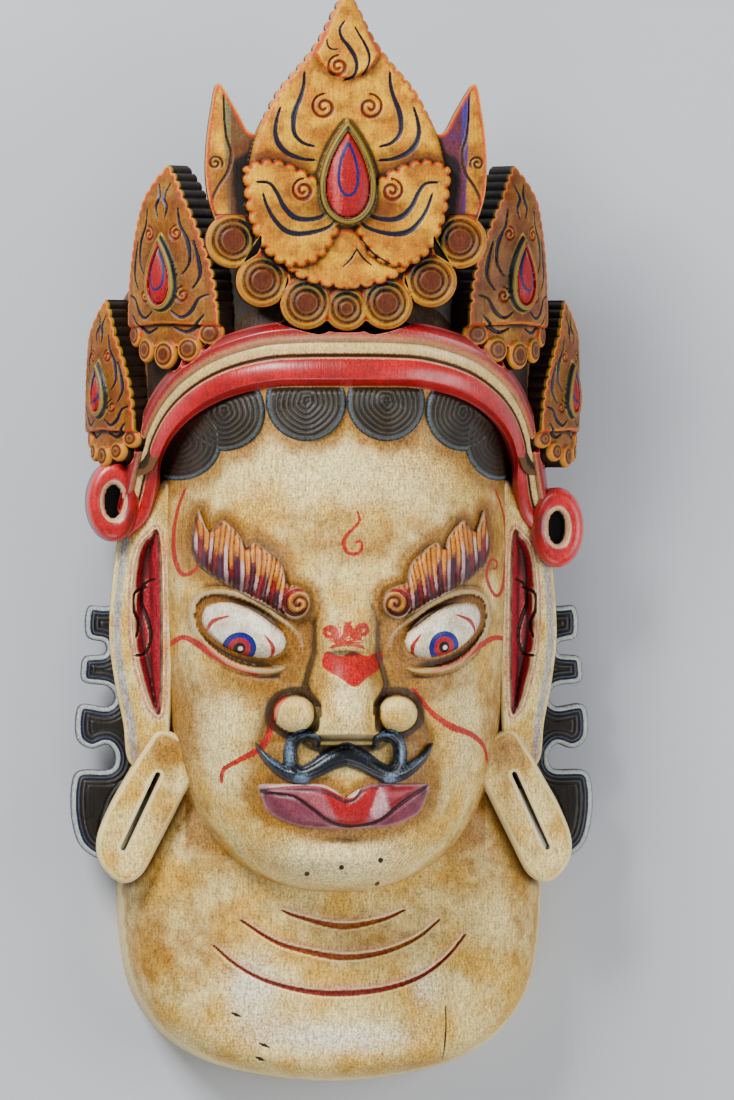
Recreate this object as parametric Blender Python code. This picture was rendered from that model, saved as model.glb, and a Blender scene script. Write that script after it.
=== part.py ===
"""Tibetan cham mask: a hollow carved wooden guardian's face that lies on its back rim, with a crown of
five leaf boards and a fretted scroll board behind each ear. Metres, +Z up, origin under the middle."""

from typing import NamedTuple

import bmesh
import bpy
import numpy as np
from mathutils import Vector
from mathutils.geometry import delaunay_2d_cdt

# Driving sizes in metres
OVERALL_HEIGHT = 0.800  # lower edge of the neck to the tip of the crown
HEAD_WIDTH = 0.264  # across the cheekbones
HEAD_DEPTH = 0.205  # back rim to forehead
WALL = 0.017  # thickness of the carved shell
LEAF_THICKNESS = 0.011  # edge of a side crown leaf
CENTRE_LEAF_THICKNESS = 0.014
SCROLL_THICKNESS = 0.018
EAR_THICKNESS = 0.026
LOBE_THICKNESS = 0.022
SEAT_GAP = 0.0003  # between a board's back and its seat
EDGE_GAP = 0.0015  # round a board let into the head

# The carving is drawn in millimetres on a sheet for a mask of these sizes, with x = 0 on the middle line,
# y = 0 at the lower edge of the neck and z = 0 on the back rim. The driving sizes scale the sheet.
SHEET = (264, 800, 205)
SCALE = np.array([HEAD_WIDTH, OVERALL_HEIGHT, HEAD_DEPTH]) / SHEET
CARVING_PITCH = 2.6  # grid on which the carving is worked out before it is thinned
FLAT = 400  # a grid so coarse that a flat board has none
HEAD_GRID, HOLLOW_GRID, BAND_GRID = (190, 150), (24, 24), (72, 9)  # rows and columns; along and across
BURIED = -25  # how far the forms run on below the rim before the back is sawn flat
NEVER_LEVEL = (3, 6)  # how much deeper the neck and the crown block run, so that no two bottoms lie level

# Triangles that each form is thinned to; the second counts of the neck and crown block are for hollows
HEAD_TRIANGLES, HOLLOW_TRIANGLES, WHOLE_TRIANGLES = 3000, 320, 4500
NECK_TRIANGLES, CROWN_BLOCK_TRIANGLES = (460, 180), (300, 150)
BAND_TRIANGLES, CURL_TRIANGLES, EAR_TRIANGLES, LOBE_TRIANGLES = 560, 130, 230, 130
CENTRE_LEAF_TRIANGLES = 1300

# Head
SECTION_X_POWER = 2.6
SECTION_Z_POWER = 2.2
HEAD_ROWS = (143, 606)
HALF_WIDTH = (
    (143, 24), (147, 44), (152, 58), (160, 73), (172, 89), (188, 103), (206, 113), (228, 122),
    (260, 129), (300, 132), (480, 132), (520, 130), (560, 122), (606, 104),
)
DEPTH = (
    (143, 104), (146, 134), (150, 154), (156, 170), (164, 180), (178, 186), (205, 188), (250, 190),
    (300, 196), (340, 199), (380, 203), (430, 205), (480, 204), (520, 199), (560, 192), (606, 168),
)
CROWN_BLOCK = (
    (0, 536), (60, 530), (96, 514), (124, 484), (136, 452), (152, 450), (164, 468), (167, 500), (166, 540),
    (156, 572), (132, 606), (96, 636), (50, 652), (0, 656),
)
CROWN_BLOCK_HALF, CROWN_BLOCK_DEPTH = 170, 180
CROWN_BLOCK_TURN = 584  # above this the block rounds over to its top edge
NECK = (
    (0, 0), (28, 1.5), (55, 5.5), (80, 11), (103, 20.5), (125, 36), (142, 58), (151, 80), (155, 105),
    (157, 130), (157, 152), (152, 185), (138, 220), (116, 250), (0, 262),
)
NECK_DEPTH = ((0, 72), (20, 76), (60, 82), (130, 87), (262, 92))
NECK_ROUNDING = ((0, 12), (30, 24), (90, 52), (262, 70))

# Face, on the +x side
EYE_RIM = (
    (105, 354), (97, 360.5), (82, 360), (64, 352.5), (50, 342.5), (39, 334), (34, 325), (40, 313.5),
    (55, 308), (77, 311), (95, 323), (105.5, 339),
)
EYE_CENTRE, EYE_RADII, EYE_SLANT = (72.5, 335.5), (31, 17), 0.42
BROW = (
    (106, 384), (109, 402), (104, 423), (97, 408), (87, 415), (76, 404), (72, 395), (66, 399), (54, 391),
    (46, 382), (43, 370), (38, 368), (29, 364), (26, 355), (30, 346), (40, 343), (57, 352), (74, 361),
    (91, 371),
)
NOSE_RISE = (
    (246, -2), (250, 0), (254, 18), (258, 33), (264, 38), (272, 39), (285, 35), (300, 27), (314, 18),
    (319, 13), (324, 15), (336, 12), (352, 6), (372, 2), (396, 0),
)
NOSE_HALF = ((250, 22), (272, 23), (300, 19), (320, 14), (340, 14), (370, 18), (396, 24))
NOSE_WING = (37, 275, 16, 14)
NOSE_SPREAD = 9  # how far the ridge runs out on to the cheek
NOSE_WING_RISE, NOSE_WING_FOLD = 29, 5
LIPS = (
    (0, 214), (10, 221), (22, 224.5), (48, 224), (62, 223), (60, 214), (55, 203), (40, 195), (24, 192),
    (0, 191),
)
LIP_RISE, LIP_ROUNDING = 8, 11
# Strands of the moustache: x, y and half-width
MOUSTACHE_BODY = (
    (0, 245.5, 9.0), (11, 241.5, 8.0), (23, 234.5, 6.6), (32, 231.5, 6.2), (38.5, 236.5, 5.4),
    (40, 247, 5.2), (37, 256, 5.0), (29.5, 259.5, 4.4), (22.5, 256, 3.6), (21, 251, 2.4),
)
MOUSTACHE_TAIL = ((31, 230, 6.4), (42, 232, 5.4), (52, 238, 4.2), (59, 245, 2.8), (64, 253, 0.8))
MOUSTACHE_RISE = 9
BROW_RISE, BROW_ROUNDING = 9, 5
LID_RISE, LID_HALF, EYE_SINK, EYE_BALL = 4.5, 3.4, 5, 17
HAIR_CURLS = ((29, 501), (87, 494), (117, 473))
HAIR_CURL_RADIUS, HAIR_CURL_RISE = 29, 5
UNDER_BAND = 4  # over which the curls sink away as they run in under the band

# Ears and lobes, on the +x side
EAR = (
    (120, 430), (134, 438), (148, 430), (158, 404), (163, 368), (165, 330), (161, 296), (155, 266),
    (152, 240), (142, 232), (132, 240), (122, 262),
)
EAR_HOLLOW = (
    (128, 285), (134, 276), (140, 290), (147, 320), (149, 352), (146, 388), (138, 403), (129, 398),
)
EAR_FRONT, EAR_LEAN, EAR_EDGE, EAR_SINK = 92, 0.75, 6, 11
LOBE = (
    (108, 250), (128, 262), (141, 247), (152, 229), (166, 204), (174.5, 181), (172, 163), (158, 149.5),
    (143, 155), (129, 180), (114, 210), (106, 228),
)
LOBE_SLIT = ((131, 229), (156, 175))
LOBE_SLIT_HALF = 1.9
LOBE_FRONT, LOBE_LEAN, LOBE_EDGE, LOBE_BACK = 100, 0.32, 5, 76

# Headband: outer and inner edge and the depth of its crest, from the middle line outwards
BAND = (
    (0, 560, 0, 511, 210), (32, 559.5, 27, 511, 208), (64, 556, 52, 510.5, 202), (96, 545, 80, 505, 188),
    (118, 530, 103, 494, 168), (134, 511, 120, 478, 145), (146, 485, 129, 459, 121),
    (153, 459, 130, 437, 102), (157, 438, 136, 414, 90), (160, 424, 151, 401, 84),
)
BAND_FALL = 26
LOWER_ROLL, UPPER_ROLL = (0.2, 0.24, 6), (0.85, 0.17, 5)  # middle and half as shares of the band, height
BAND_CHANNEL = 8  # the channel between the rolls, below the crest
BAND_FOOT = 6  # how far the band's foot stands over the backs of its curls
CURL_RADII, CURL_HOLE = (19.5, 29.5), (6.5, 12)
CURL_CENTRES = {-1: (-163, 429), 1: (163.5, 410)}
CURL_DEPTH = (44, 88)
CURL_EDGE = 7
CURL_FLOOR = 8  # wood left behind a curl's blind hole

# Crown boards. A board is drawn flat in (u, v): u across from its middle line, v along the mask's y.
CENTRE_LEAF_BACK = 186
CENTRE_PLATE_EDGE = (
    (66, 694), (72, 697), (80, 712), (93, 731), (98, 712), (101, 690), (102, 668), (100, 648), (95, 632),
)
CLOUD_LOBES = ((82, 617, 20), (61, 588, 19), (29, 572, 19), (0, 568, 16))
UPPER_LEAF = (
    (0, 800), (9, 786), (19, 766), (30, 750), (50, 726), (61, 705), (69, 682), (73, 660), (70, 632),
)
WING_LEAF = (
    (2, 645), (3, 632), (8, 618), (18, 604), (30, 598), (43, 597), (56, 604), (66, 617), (72, 634),
    (75, 655), (74, 671), (52, 676), (24, 664),
)
LOWER_LOBE = ((0, 581), (20, 584), (38, 591), (46, 600), (36, 616), (0, 626))
TIP_FLAME = ((0, 799), (9, 785), (17, 766), (22, 756), (24, 752), (18, 742), (8, 735), (0, 733))
SIDE_LEAF = ((0, 1.0), (0.24, 0.93), (0.52, 0.80), (0.78, 0.62), (0.95, 0.44), (1.0, 0.28))
SIDE_LEAF_LOBES = ((0.84, 0.17, 0.2), (0.48, 0.095, 0.21), (0, 0.1, 0.24))
SCALLOP, SCALLOP_DEPTH = 10, 2.2
CENTRE_GEM = (666, 39, 23.5)  # middle, half-height and half-width
CENTRE_GEM_RISE, SIDE_GEM_RISE = 22, 9


class LeafSizes(NamedTuple):
    """A side leaf of the crown: its board, where it stands and its stone."""

    half: float
    foot: float
    tip: float
    yaw: float  # degrees that it is turned outwards
    middle_x: float  # the middle of its back
    back_z: float
    bulge: float
    gem: tuple
    triangles: int


INNER_LEAF = LeafSizes(44, 525, 674, 45, 111.5, 134, 13, (595, 29, 17), 480)
OUTER_LEAF = LeafSizes(35, 454, 577, 62, 152, 74, 9, (511, 22, 13), 340)
BODY_FOOT = 0.22  # share of a side leaf's height at which its body rises over its lobes
POCKET_DEPTH = 0.12  # metres that a leaf's pocket is open in front of it

# Scroll boards behind the ears, on the +x side
SCROLL_BACK = 31
SCROLL = (
    (122, 352), (166, 352), (180, 351), (181, 330), (168, 325), (168, 317), (182, 315), (185, 306),
    (183, 296), (166, 293), (160, 285), (166, 278), (184, 280), (189, 271), (188, 254), (178, 247),
    (166, 250), (160, 242), (164, 232), (186, 231), (192, 220), (192, 196), (186, 176), (172, 166),
    (164, 172), (160, 196), (150, 215), (122, 232),
)


def through(pairs):
    """A smooth function of one value through (value, result) pairs."""
    at, value = np.array(pairs, float).T
    slope = np.gradient(value, at)

    def smooth(x):
        x = np.clip(x, at[0], at[-1])
        i = np.clip(np.searchsorted(at, x) - 1, 0, len(at) - 2)
        width = at[i + 1] - at[i]
        t = (x - at[i]) / width
        rise = value[i + 1] - value[i]
        start = value[i] + t * t * (3 - 2 * t) * rise
        return start + width * t * (1 - t) * ((1 - t) * slope[i] - t * slope[i + 1])

    return smooth


def rounded(points, closed, steps=4):
    """The Catmull-Rom curve through drawn points."""
    points = np.array(points, float)
    count = len(points) if closed else len(points) - 1
    curve = []
    for i in range(count):
        if closed:
            a, b, c, d = (points[(i + k) % len(points)] for k in (-1, 0, 1, 2))
        else:
            a, b, c, d = (points[min(max(i + k, 0), len(points) - 1)] for k in (-1, 0, 1, 2))
        for t in np.arange(steps) / steps:
            bend = 2 * a - 5 * b + 4 * c - d + t * (3 * (b - c) + d - a)
            curve.append(b + t / 2 * (c - a + t * bend))
    return np.array(curve if closed else curve + [points[-1]])


def both_sides(half):
    """A closed outline from its +x half, which starts and ends on the middle line."""
    half = np.array(half, float)
    return np.concatenate([half, half[-2:0:-1] * (-1, 1)])


def distance_to(x, y, line, closed=False):
    """Distance from each point to a line; on a closed line it is positive inside and negative outside."""
    line = np.asarray(line, float)
    ends = np.roll(line, -1, axis=0) if closed else line[1:]
    best = np.full(np.shape(x), np.inf)
    inside = np.zeros(np.shape(x), bool)
    for (ax, ay), (bx, by) in zip(line, ends):
        dx, dy = bx - ax, by - ay
        t = np.clip(((x - ax) * dx + (y - ay) * dy) / max(dx * dx + dy * dy, 1e-12), 0, 1)
        best = np.minimum(best, np.hypot(x - ax - t * dx, y - ay - t * dy))
        if ay != by:
            inside ^= ((ay > y) != (by > y)) & (x < dx * (y - ay) / dy + ax)
    return np.where(inside | (not closed), best, -best)


def hill(x, y, cx, cy, rx, ry, turn=0.0):
    """A smooth hill of height 1, turned anticlockwise."""
    u = ((x - cx) * np.cos(turn) + (y - cy) * np.sin(turn)) / rx
    v = ((y - cy) * np.cos(turn) - (x - cx) * np.sin(turn)) / ry
    return np.exp(-u * u - v * v)


def step(t):
    t = np.clip(t, 0, 1)
    return t * t * (3 - 2 * t)


def dome(t, power=2.0):
    """Rises from 0 at t = 0 to 1 at t = 1 as a quarter of a round."""
    return (1 - (1 - np.clip(t, 0, 1)) ** power) ** (1 / power)


def superellipse(share, x_power, z_power):
    return np.clip(1 - np.abs(share) ** x_power, 0, 1) ** (1 / z_power)


def nose_rise(side, y):
    half = through(NOSE_HALF)(y)
    across = np.clip(1 - (side / (half + NOSE_SPREAD)) ** 2.4, 0, 1) ** 1.2
    ridge = through(NOSE_RISE)(y) * across
    x, cy, rx, ry = NOSE_WING
    reach = np.hypot((side - x) / rx, (y - cy) / ry)
    wing = NOSE_WING_RISE * np.sqrt(np.clip(1 - reach**4, 0, 1))
    fold = NOSE_WING_FOLD * np.exp(-(((reach - 1.18) * ry / 4) ** 2)) * (side > half - 4) * (y > cy - ry)
    return np.maximum(ridge, wing) - fold


def eye_rise(side, y):
    rim = distance_to(side, y, rounded(EYE_RIM, True), True)
    lid = LID_RISE * np.exp(-(((rim + 2) / LID_HALF) ** 2))
    groove = -EYE_SINK * step(rim / 2.2)
    u, v = side - EYE_CENTRE[0], y - EYE_CENTRE[1]
    along = u * np.cos(EYE_SLANT) + v * np.sin(EYE_SLANT)
    up = v * np.cos(EYE_SLANT) - u * np.sin(EYE_SLANT)
    reach = (along / EYE_RADII[0]) ** 2 + (up / EYE_RADII[1]) ** 2
    ball = EYE_BALL * np.sqrt(np.clip(1 - reach, 0, 1))
    return np.where(rim > 0, groove + ball, lid)


def moustache_rise(side, y):
    inside = np.zeros(np.shape(side))
    for strand in (MOUSTACHE_BODY, MOUSTACHE_TAIL):
        line = rounded(strand, False)
        for (ax, ay, wide), (bx, by, narrow) in zip(line, line[1:]):
            dx, dy = bx - ax, by - ay
            t = np.clip(((side - ax) * dx + (y - ay) * dy) / max(dx * dx + dy * dy, 1e-12), 0, 1)
            away = np.hypot(side - ax - t * dx, y - ay - t * dy)
            inside = np.maximum(inside, 1 - away / (wide + t * (narrow - wide)))
    return MOUSTACHE_RISE * dome(inside)


def face_rise(x, y):
    """How far the carving stands out from the head's plain form."""
    side = np.abs(x)
    rise = 7 * hill(side, y, 0, 222, 50, 32) + 7 * hill(side, y, 0, 168, 32, 18)
    rise += 7 * hill(side, y, 76, 262, 30, 36) + 8 * hill(side, y, 62, 376, 46, 17, 0.42)
    rise += 5 * hill(side, y, 76, 304, 34, 13, 0.3) - 7 * hill(side, y, 46, 322, 20, 22)
    rise -= 5 * hill(side, y, 59, 262, 8, 26, 0.35) + 4 * hill(side, y, 0, 183, 26, 6)
    rise += eye_rise(side, y) + moustache_rise(side, y)
    lips = distance_to(side, y, both_sides(rounded(LIPS, False)), True)
    rise += LIP_RISE * dome(lips / LIP_ROUNDING)
    brow = distance_to(side, y, rounded(BROW, True, 3), True)
    rise += BROW_RISE * dome(brow / BROW_ROUNDING)
    curls = np.max([HAIR_CURL_RADIUS - np.hypot(side - cx, y - cy) for cx, cy in HAIR_CURLS], axis=0)
    band_foot = through([(inner_x, inner_y) for _, _, inner_x, inner_y, _ in BAND])(side)
    rise += HAIR_CURL_RISE * step(curls / 3) * step((band_foot - y) / UNDER_BAND)
    return np.maximum(rise, nose_rise(side, y))


def new_object(name, bm):
    bmesh.ops.recalc_face_normals(bm, faces=bm.faces)
    mesh = bpy.data.meshes.new(name)
    bm.to_mesh(mesh)
    bm.free()
    return bpy.data.objects.new(name, mesh)


def metres(x, y, z):
    """Drawn millimetres to the mask's place: x and z as drawn, y measured from the middle of its height."""
    points = np.stack(np.broadcast_arrays(x, y, z), axis=-1) * SCALE
    return points - (0, OVERALL_HEIGHT / 2, 0)


def head_form(name, rows, columns, carve, inset=0.0):
    """The head's round form as a closed block, carved or plain, its walls moved in by inset metres."""
    bm = bmesh.new()
    bmesh.ops.create_grid(bm, x_segments=columns, y_segments=rows, size=0.5)
    grid = np.array([v.co[:2] for v in bm.verts]) + 0.5
    angle = np.linspace(0, np.pi, 2000)
    x = -np.sign(np.cos(angle)) * np.abs(np.cos(angle)) ** (2 / SECTION_X_POWER)
    z = np.sin(angle) ** (2 / SECTION_Z_POWER)
    along = np.concatenate([[0], np.cumsum(np.hypot(np.diff(x) * SHEET[0] / 2, np.diff(z) * SHEET[2]))])
    even = grid[:, 0] * along[-1]
    low, high = HEAD_ROWS
    y = low + (high - low) * (grid[:, 1] + grid[:, 1] ** 1.5) / 2
    half = through(HALF_WIDTH)(y)
    drawn_x = np.interp(even, along, x) * half
    drawn_z = np.interp(even, along, z) * through(DEPTH)(y)
    if carve:
        facing = 1 - np.abs(drawn_x / half) ** 8
        drawn_z = drawn_z + face_rise(drawn_x, y) * facing
    points = metres(drawn_x, y, drawn_z)
    if inset:
        half_m, depth_m = half * SCALE[0], through(DEPTH)(y) * SCALE[2]
        points[:, 0] *= np.maximum(half_m - inset, 0.2 * half_m) / half_m
        points[:, 2] *= np.maximum(depth_m - inset, 0.2 * depth_m) / depth_m
        top, bottom = points[:, 1].max() - inset, points[:, 1].min() + inset
        points[:, 1] = np.clip(points[:, 1], bottom, top)
    for vert, point in zip(bm.verts, points):
        vert.co = point
    close_below(bm, BURIED * SCALE[2])
    return new_object(name, bm)


def close_below(bm, level):
    """Runs an open surface's edge down to a level and closes it there."""
    rim = [edge for edge in bm.edges if edge.is_boundary]
    made = bmesh.ops.extrude_edge_only(bm, edges=rim)["geom"]
    for item in made:
        if isinstance(item, bmesh.types.BMVert):
            item.co.z = level
    bmesh.ops.edgeloop_fill(bm, edges=[edge for edge in bm.edges if edge.is_boundary])


def panel(outline, pitch, holes=()):
    """A flat triangulated sheet: the outline, any holes and a grid of points inside."""
    outline = np.asarray(outline, float)
    low, high = outline.min(axis=0), outline.max(axis=0)
    counts = np.maximum(np.ceil((high - low) / pitch).astype(int), 2)
    gx, gy = np.meshgrid(*(np.linspace(a, b, n + 1) for a, b, n in zip(low, high, counts)))
    clear = distance_to(gx, gy, outline, True)
    for hole in holes:
        clear = np.minimum(clear, -distance_to(gx, gy, hole, True))
    keep = clear > pitch * 0.45
    inner = np.stack([gx[keep], gy[keep]], axis=-1)
    loops = [outline] + [np.asarray(hole, float) for hole in holes]
    edges = []
    start = 0
    for loop in loops:
        edges += [(start + i, start + (i + 1) % len(loop)) for i in range(len(loop))]
        start += len(loop)
    points = [Vector(p) for p in np.concatenate(loops + [inner])]
    verts, _, faces, *_ = delaunay_2d_cdt(points, edges, [], 1, 1e-7)
    flat = np.array([v[:] for v in verts])
    bm = bmesh.new()
    made = [bm.verts.new((p[0], p[1], 0)) for p in flat]
    for face in faces:
        middle = flat[list(face)].mean(axis=0)
        if all(distance_to(*middle, hole, True) < 0 for hole in holes):
            bm.faces.new([made[i] for i in face])
    bmesh.ops.delete(bm, geom=[v for v in bm.verts if not v.link_faces], context="VERTS")
    return bm


def slab(name, outline, top, bottom, pitch=CARVING_PITCH, holes=(), place=metres):
    """A block with the outline's walls, a top surface that is a function of (x, y) and a level bottom."""
    bm = panel(outline, pitch, holes)
    lower = bmesh.ops.extrude_face_region(bm, geom=bm.faces[:])["geom"]
    lower = {item for item in lower if isinstance(item, bmesh.types.BMVert)}
    xy = np.array([v.co[:2] for v in bm.verts])
    height = top(xy[:, 0], xy[:, 1])
    for vert, (x, y), z in zip(bm.verts, xy, height):
        vert.co = place(x, y, bottom if vert in lower else z)
    return new_object(name, bm)


def mirrored(points, side):
    return np.array(points, float) * (side, 1)


def crown_block_top(x, y):
    over = np.clip((y - CROWN_BLOCK_TURN) / (658 - CROWN_BLOCK_TURN), 0, 1)
    return CROWN_BLOCK_DEPTH * superellipse(x / CROWN_BLOCK_HALF, 2.2, 2) * superellipse(over, 2.4, 2)


def neck_top(x, y, outline):
    inside = distance_to(x, y, outline, True)
    return through(NECK_DEPTH)(y) * dome(inside / through(NECK_ROUNDING)(y), 2.4)


def neck(name, inset=0.0):
    outline = both_sides(rounded(NECK, False, 3))
    if inset:
        outline = grown(outline * SCALE[:2], -inset) / SCALE[:2]

    def top(x, y):
        return neck_top(x, y, outline) - inset / SCALE[2]

    made = slab(name, outline, top, BURIED - NEVER_LEVEL[0], 7)
    return thin(made, NECK_TRIANGLES[bool(inset)])


def crown_block(name, inset=0.0):
    outline = both_sides(rounded(CROWN_BLOCK, False, 2))
    if inset:
        outline = grown(outline * SCALE[:2], -inset) / SCALE[:2]

    def top(x, y):
        return crown_block_top(x, y) - inset / SCALE[2]

    made = slab(name, outline, top, BURIED - NEVER_LEVEL[1], 9)
    return thin(made, CROWN_BLOCK_TRIANGLES[bool(inset)])


def grown(outline, gap):
    """An outline moved outwards along its normals, or inwards without the corners that would cross over."""
    ahead, behind = np.roll(outline, -1, axis=0), np.roll(outline, 1, axis=0)
    along = ahead - behind
    normal = np.stack([along[:, 1], -along[:, 0]], axis=-1) / np.hypot(*along.T)[:, None]
    area = np.sum(outline[:, 0] * ahead[:, 1] - ahead[:, 0] * outline[:, 1])
    moved = outline + np.sign(area) * gap * normal
    if gap < 0:
        moved = moved[distance_to(*moved.T, outline, True) > -0.97 * gap]
    return moved


def headband(name):
    """The rolled band, bent over the forehead, as a grid between its two edges."""
    bm = bmesh.new()
    bmesh.ops.create_grid(bm, x_segments=BAND_GRID[0], y_segments=BAND_GRID[1], size=0.5)
    grid = np.array([v.co[:2] for v in bm.verts]) + 0.5
    row = np.array(BAND, float)
    place = np.linspace(0, 1, len(row))
    run = np.abs(2 * grid[:, 0] - 1)
    side = np.where(grid[:, 0] < 0.5, -1, 1)
    outer_x, outer_y, inner_x, inner_y, crest = (through(list(zip(place, column)))(run) for column in row.T)
    t = grid[:, 1]
    x = side * (inner_x + (outer_x - inner_x) * t)
    y = inner_y + (outer_y - inner_y) * t
    rolls = sum(
        height * np.sqrt(np.clip(1 - ((t - middle) / half) ** 2, 0, 1))
        for middle, half, height in (LOWER_ROLL, UPPER_ROLL)
    )
    z = crest + rolls - BAND_CHANNEL - BAND_FALL * np.clip(np.abs(2 * t - 1) - 0.75, 0, 1)
    for vert, point in zip(bm.verts, metres(x, y, z)):
        vert.co = point
    close_below(bm, (CURL_DEPTH[0] + BAND_FOOT) * SCALE[2])
    return new_object(name, bm)


def oval(centre, radii, count):
    turn = np.arange(count) / count * 2 * np.pi
    return np.stack([centre[0] + radii[0] * np.cos(turn), centre[1] + radii[1] * np.sin(turn)], axis=-1)


def band_curl(name, side):
    """The open curl at an end of the band: a round roll about a blind hole."""
    centre = CURL_CENTRES[side]
    outline, hole = oval(centre, CURL_RADII, 28), oval(centre, CURL_HOLE, 14)

    def top(x, y):
        from_hole = -distance_to(x, y, hole, True)
        rim = np.minimum(distance_to(x, y, outline, True), from_hole)
        roll = CURL_DEPTH[1] - CURL_EDGE + CURL_EDGE * dome(rim / CURL_EDGE)
        return np.where(from_hole < 0, CURL_DEPTH[0] + CURL_FLOOR, roll)

    return slab(name, outline, top, CURL_DEPTH[0], 2)


def slot(ends, half_width):
    """A round-ended slot's outline."""
    heading = np.arctan2(*(ends[1] - ends[0])[::-1])
    turn = np.radians(np.arange(-90, 91, 45)) + heading
    cap = half_width * np.stack([np.cos(turn), np.sin(turn)], axis=-1)
    return np.concatenate([ends[1] + cap, ends[0] - cap])


def ear(name, side):
    outline, hollow = mirrored(rounded(EAR, True, 3), side), mirrored(rounded(EAR_HOLLOW, True, 3), side)
    thickness = EAR_THICKNESS / SCALE[2]

    def top(x, y):
        front = EAR_FRONT - EAR_LEAN * (np.abs(x) - 128)
        edge = distance_to(x, y, outline, True)
        sunk = EAR_SINK * step(distance_to(x, y, hollow, True) / 8)
        return front - EAR_EDGE + EAR_EDGE * dome(edge / EAR_EDGE) - sunk

    return slab(name, outline, top, EAR_FRONT - 1.5 * thickness, 4)


def lobe(name, side):
    outline = mirrored(rounded(LOBE, True, 3), side)

    def top(x, y):
        front = LOBE_FRONT - LOBE_LEAN * (np.abs(x) - 110)
        return front - LOBE_EDGE + LOBE_EDGE * dome(distance_to(x, y, outline, True) / 6)

    slit = slot(mirrored(LOBE_SLIT, side), LOBE_SLIT_HALF)
    return slab(name, outline, top, LOBE_BACK - LOBE_THICKNESS / SCALE[2], 5, [slit])


def scalloped(line, pitch=SCALLOP, depth=SCALLOP_DEPTH):
    """A drawn edge cut into a row of small scallops."""
    line = np.asarray(line, float)
    along = np.concatenate([[0], np.cumsum(np.hypot(*np.diff(line, axis=0).T))])
    count = max(int(along[-1] / pitch), 2)
    places = np.linspace(0, along[-1], count * 2 + 1)
    points = np.stack([np.interp(places, along, line[:, k]) for k in (0, 1)], axis=-1)
    heading = np.gradient(points, axis=0)
    normal = np.stack([-heading[:, 1], heading[:, 0]], axis=-1) / np.hypot(*heading.T)[:, None]
    cut = np.where(np.arange(len(points)) % 2 == 0, depth, 0.0)
    cut[[0, -1]] = 0
    return points + normal * cut[:, None] * np.sign(along[-1])


def lobed(lobes, start, end):
    """The lower edge of a row of round lobes, outermost first, without the parts inside another lobe."""
    points = [start]
    for i, (cx, cy, r) in enumerate(lobes):
        turn = np.radians(np.arange(40, -200, -24))
        arc = np.stack([cx + r * np.cos(turn), cy + r * np.sin(turn)], axis=-1)
        others = [lobe for k, lobe in enumerate(lobes) if k != i]
        for point in arc:
            clear = all(np.hypot(*(point - (x, y))) > radius for x, y, radius in others)
            if clear and point[0] >= end[0] + 1 and point[1] < start[1]:
                points.append(point)
    return points + [end]


def centre_outline():
    upper = rounded(UPPER_LEAF[:6], False, 3)
    plate = rounded(CENTRE_PLATE_EDGE, False, 2)
    lower = lobed(CLOUD_LOBES, plate[-1], (0, CLOUD_LOBES[-1][1] - CLOUD_LOBES[-1][2]))
    return both_sides(np.concatenate([scalloped(upper[::-1])[::-1], plate, lower[1:]]))


def gem_outline(middle, half_height, half_width):
    """A teardrop with its point up."""
    turn = np.linspace(0, np.pi, 12)
    x = half_width * np.sin(turn) * np.sin(turn / 2) ** 0.8 * 1.16
    return both_sides(np.stack([x, middle + half_height * np.cos(turn)], axis=-1))


def layer(x, y, outline, height, rounding):
    return height * dome(distance_to(x, y, outline, True) / rounding)


def centre_rise(u, v):
    """Relief of the centre leaf over its edge: cloud lobes, lower lobe, ogive, wings, gem, tip flame."""
    side = np.abs(u)
    plate = 4 * dome((104 - side) / 30)
    clouds = np.max([7 * dome((r - np.hypot(side - cx, v - cy)) / 8) for cx, cy, r in CLOUD_LOBES], axis=0)
    ogive = both_sides(rounded(UPPER_LEAF + ((60, 616), (0, 606)), False, 3))
    rise = np.maximum(plate, clouds)
    for outline, height, rounding in (
        (both_sides(rounded(LOWER_LOBE, False, 3)), 10, 6),
        (ogive, 12, 7),
        (both_sides(rounded(TIP_FLAME, False, 3)), 15, 8),
    ):
        rise = np.maximum(rise, layer(side, v, outline, height, rounding))
    wing = rounded(WING_LEAF, True, 3)
    rise = np.maximum(rise, layer(side, v, wing, 16, 9))
    return gem_rise(rise, u, v, gem_outline(*CENTRE_GEM), CENTRE_GEM_RISE)


def gem_rise(rise, u, v, outline, height):
    edge = distance_to(u, v, outline, True)
    stone = height * dome(edge / 3) - 3 * step((edge - 5) / 3) + 5 * dome((edge - 6.5) / 12)
    return np.where(edge > 0, np.maximum(rise, stone), rise)


def board_placer(yaw, middle_x, back_z):
    """Puts a board's (u, v, height over its back) in the mask. The height is in metres."""
    turn = np.radians(yaw)
    origin = np.array([middle_x * SCALE[0], -OVERALL_HEIGHT / 2, back_z * SCALE[2]])

    def place(u, v, height):
        u = u * SCALE[0]
        across = u * np.cos(turn) + height * np.sin(turn)
        return origin + (across, v * SCALE[1], height * np.cos(turn) - u * np.sin(turn))

    return place


def side_leaf_shapes(sizes):
    tall = sizes.tip - sizes.foot
    upper = rounded([(u * sizes.half, sizes.foot + v * tall) for u, v in SIDE_LEAF], False, 2)
    lobes = [(u * sizes.half, sizes.foot + v * tall, r * sizes.half) for u, v, r in SIDE_LEAF_LOBES]
    lobes[-1] = (0, lobes[-1][2] + sizes.foot, lobes[-1][2])
    lower = lobed(lobes, tuple(upper[-1]), (0, sizes.foot))
    return both_sides(np.concatenate([scalloped(upper[::-1])[::-1], lower[1:]])), lobes


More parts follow.
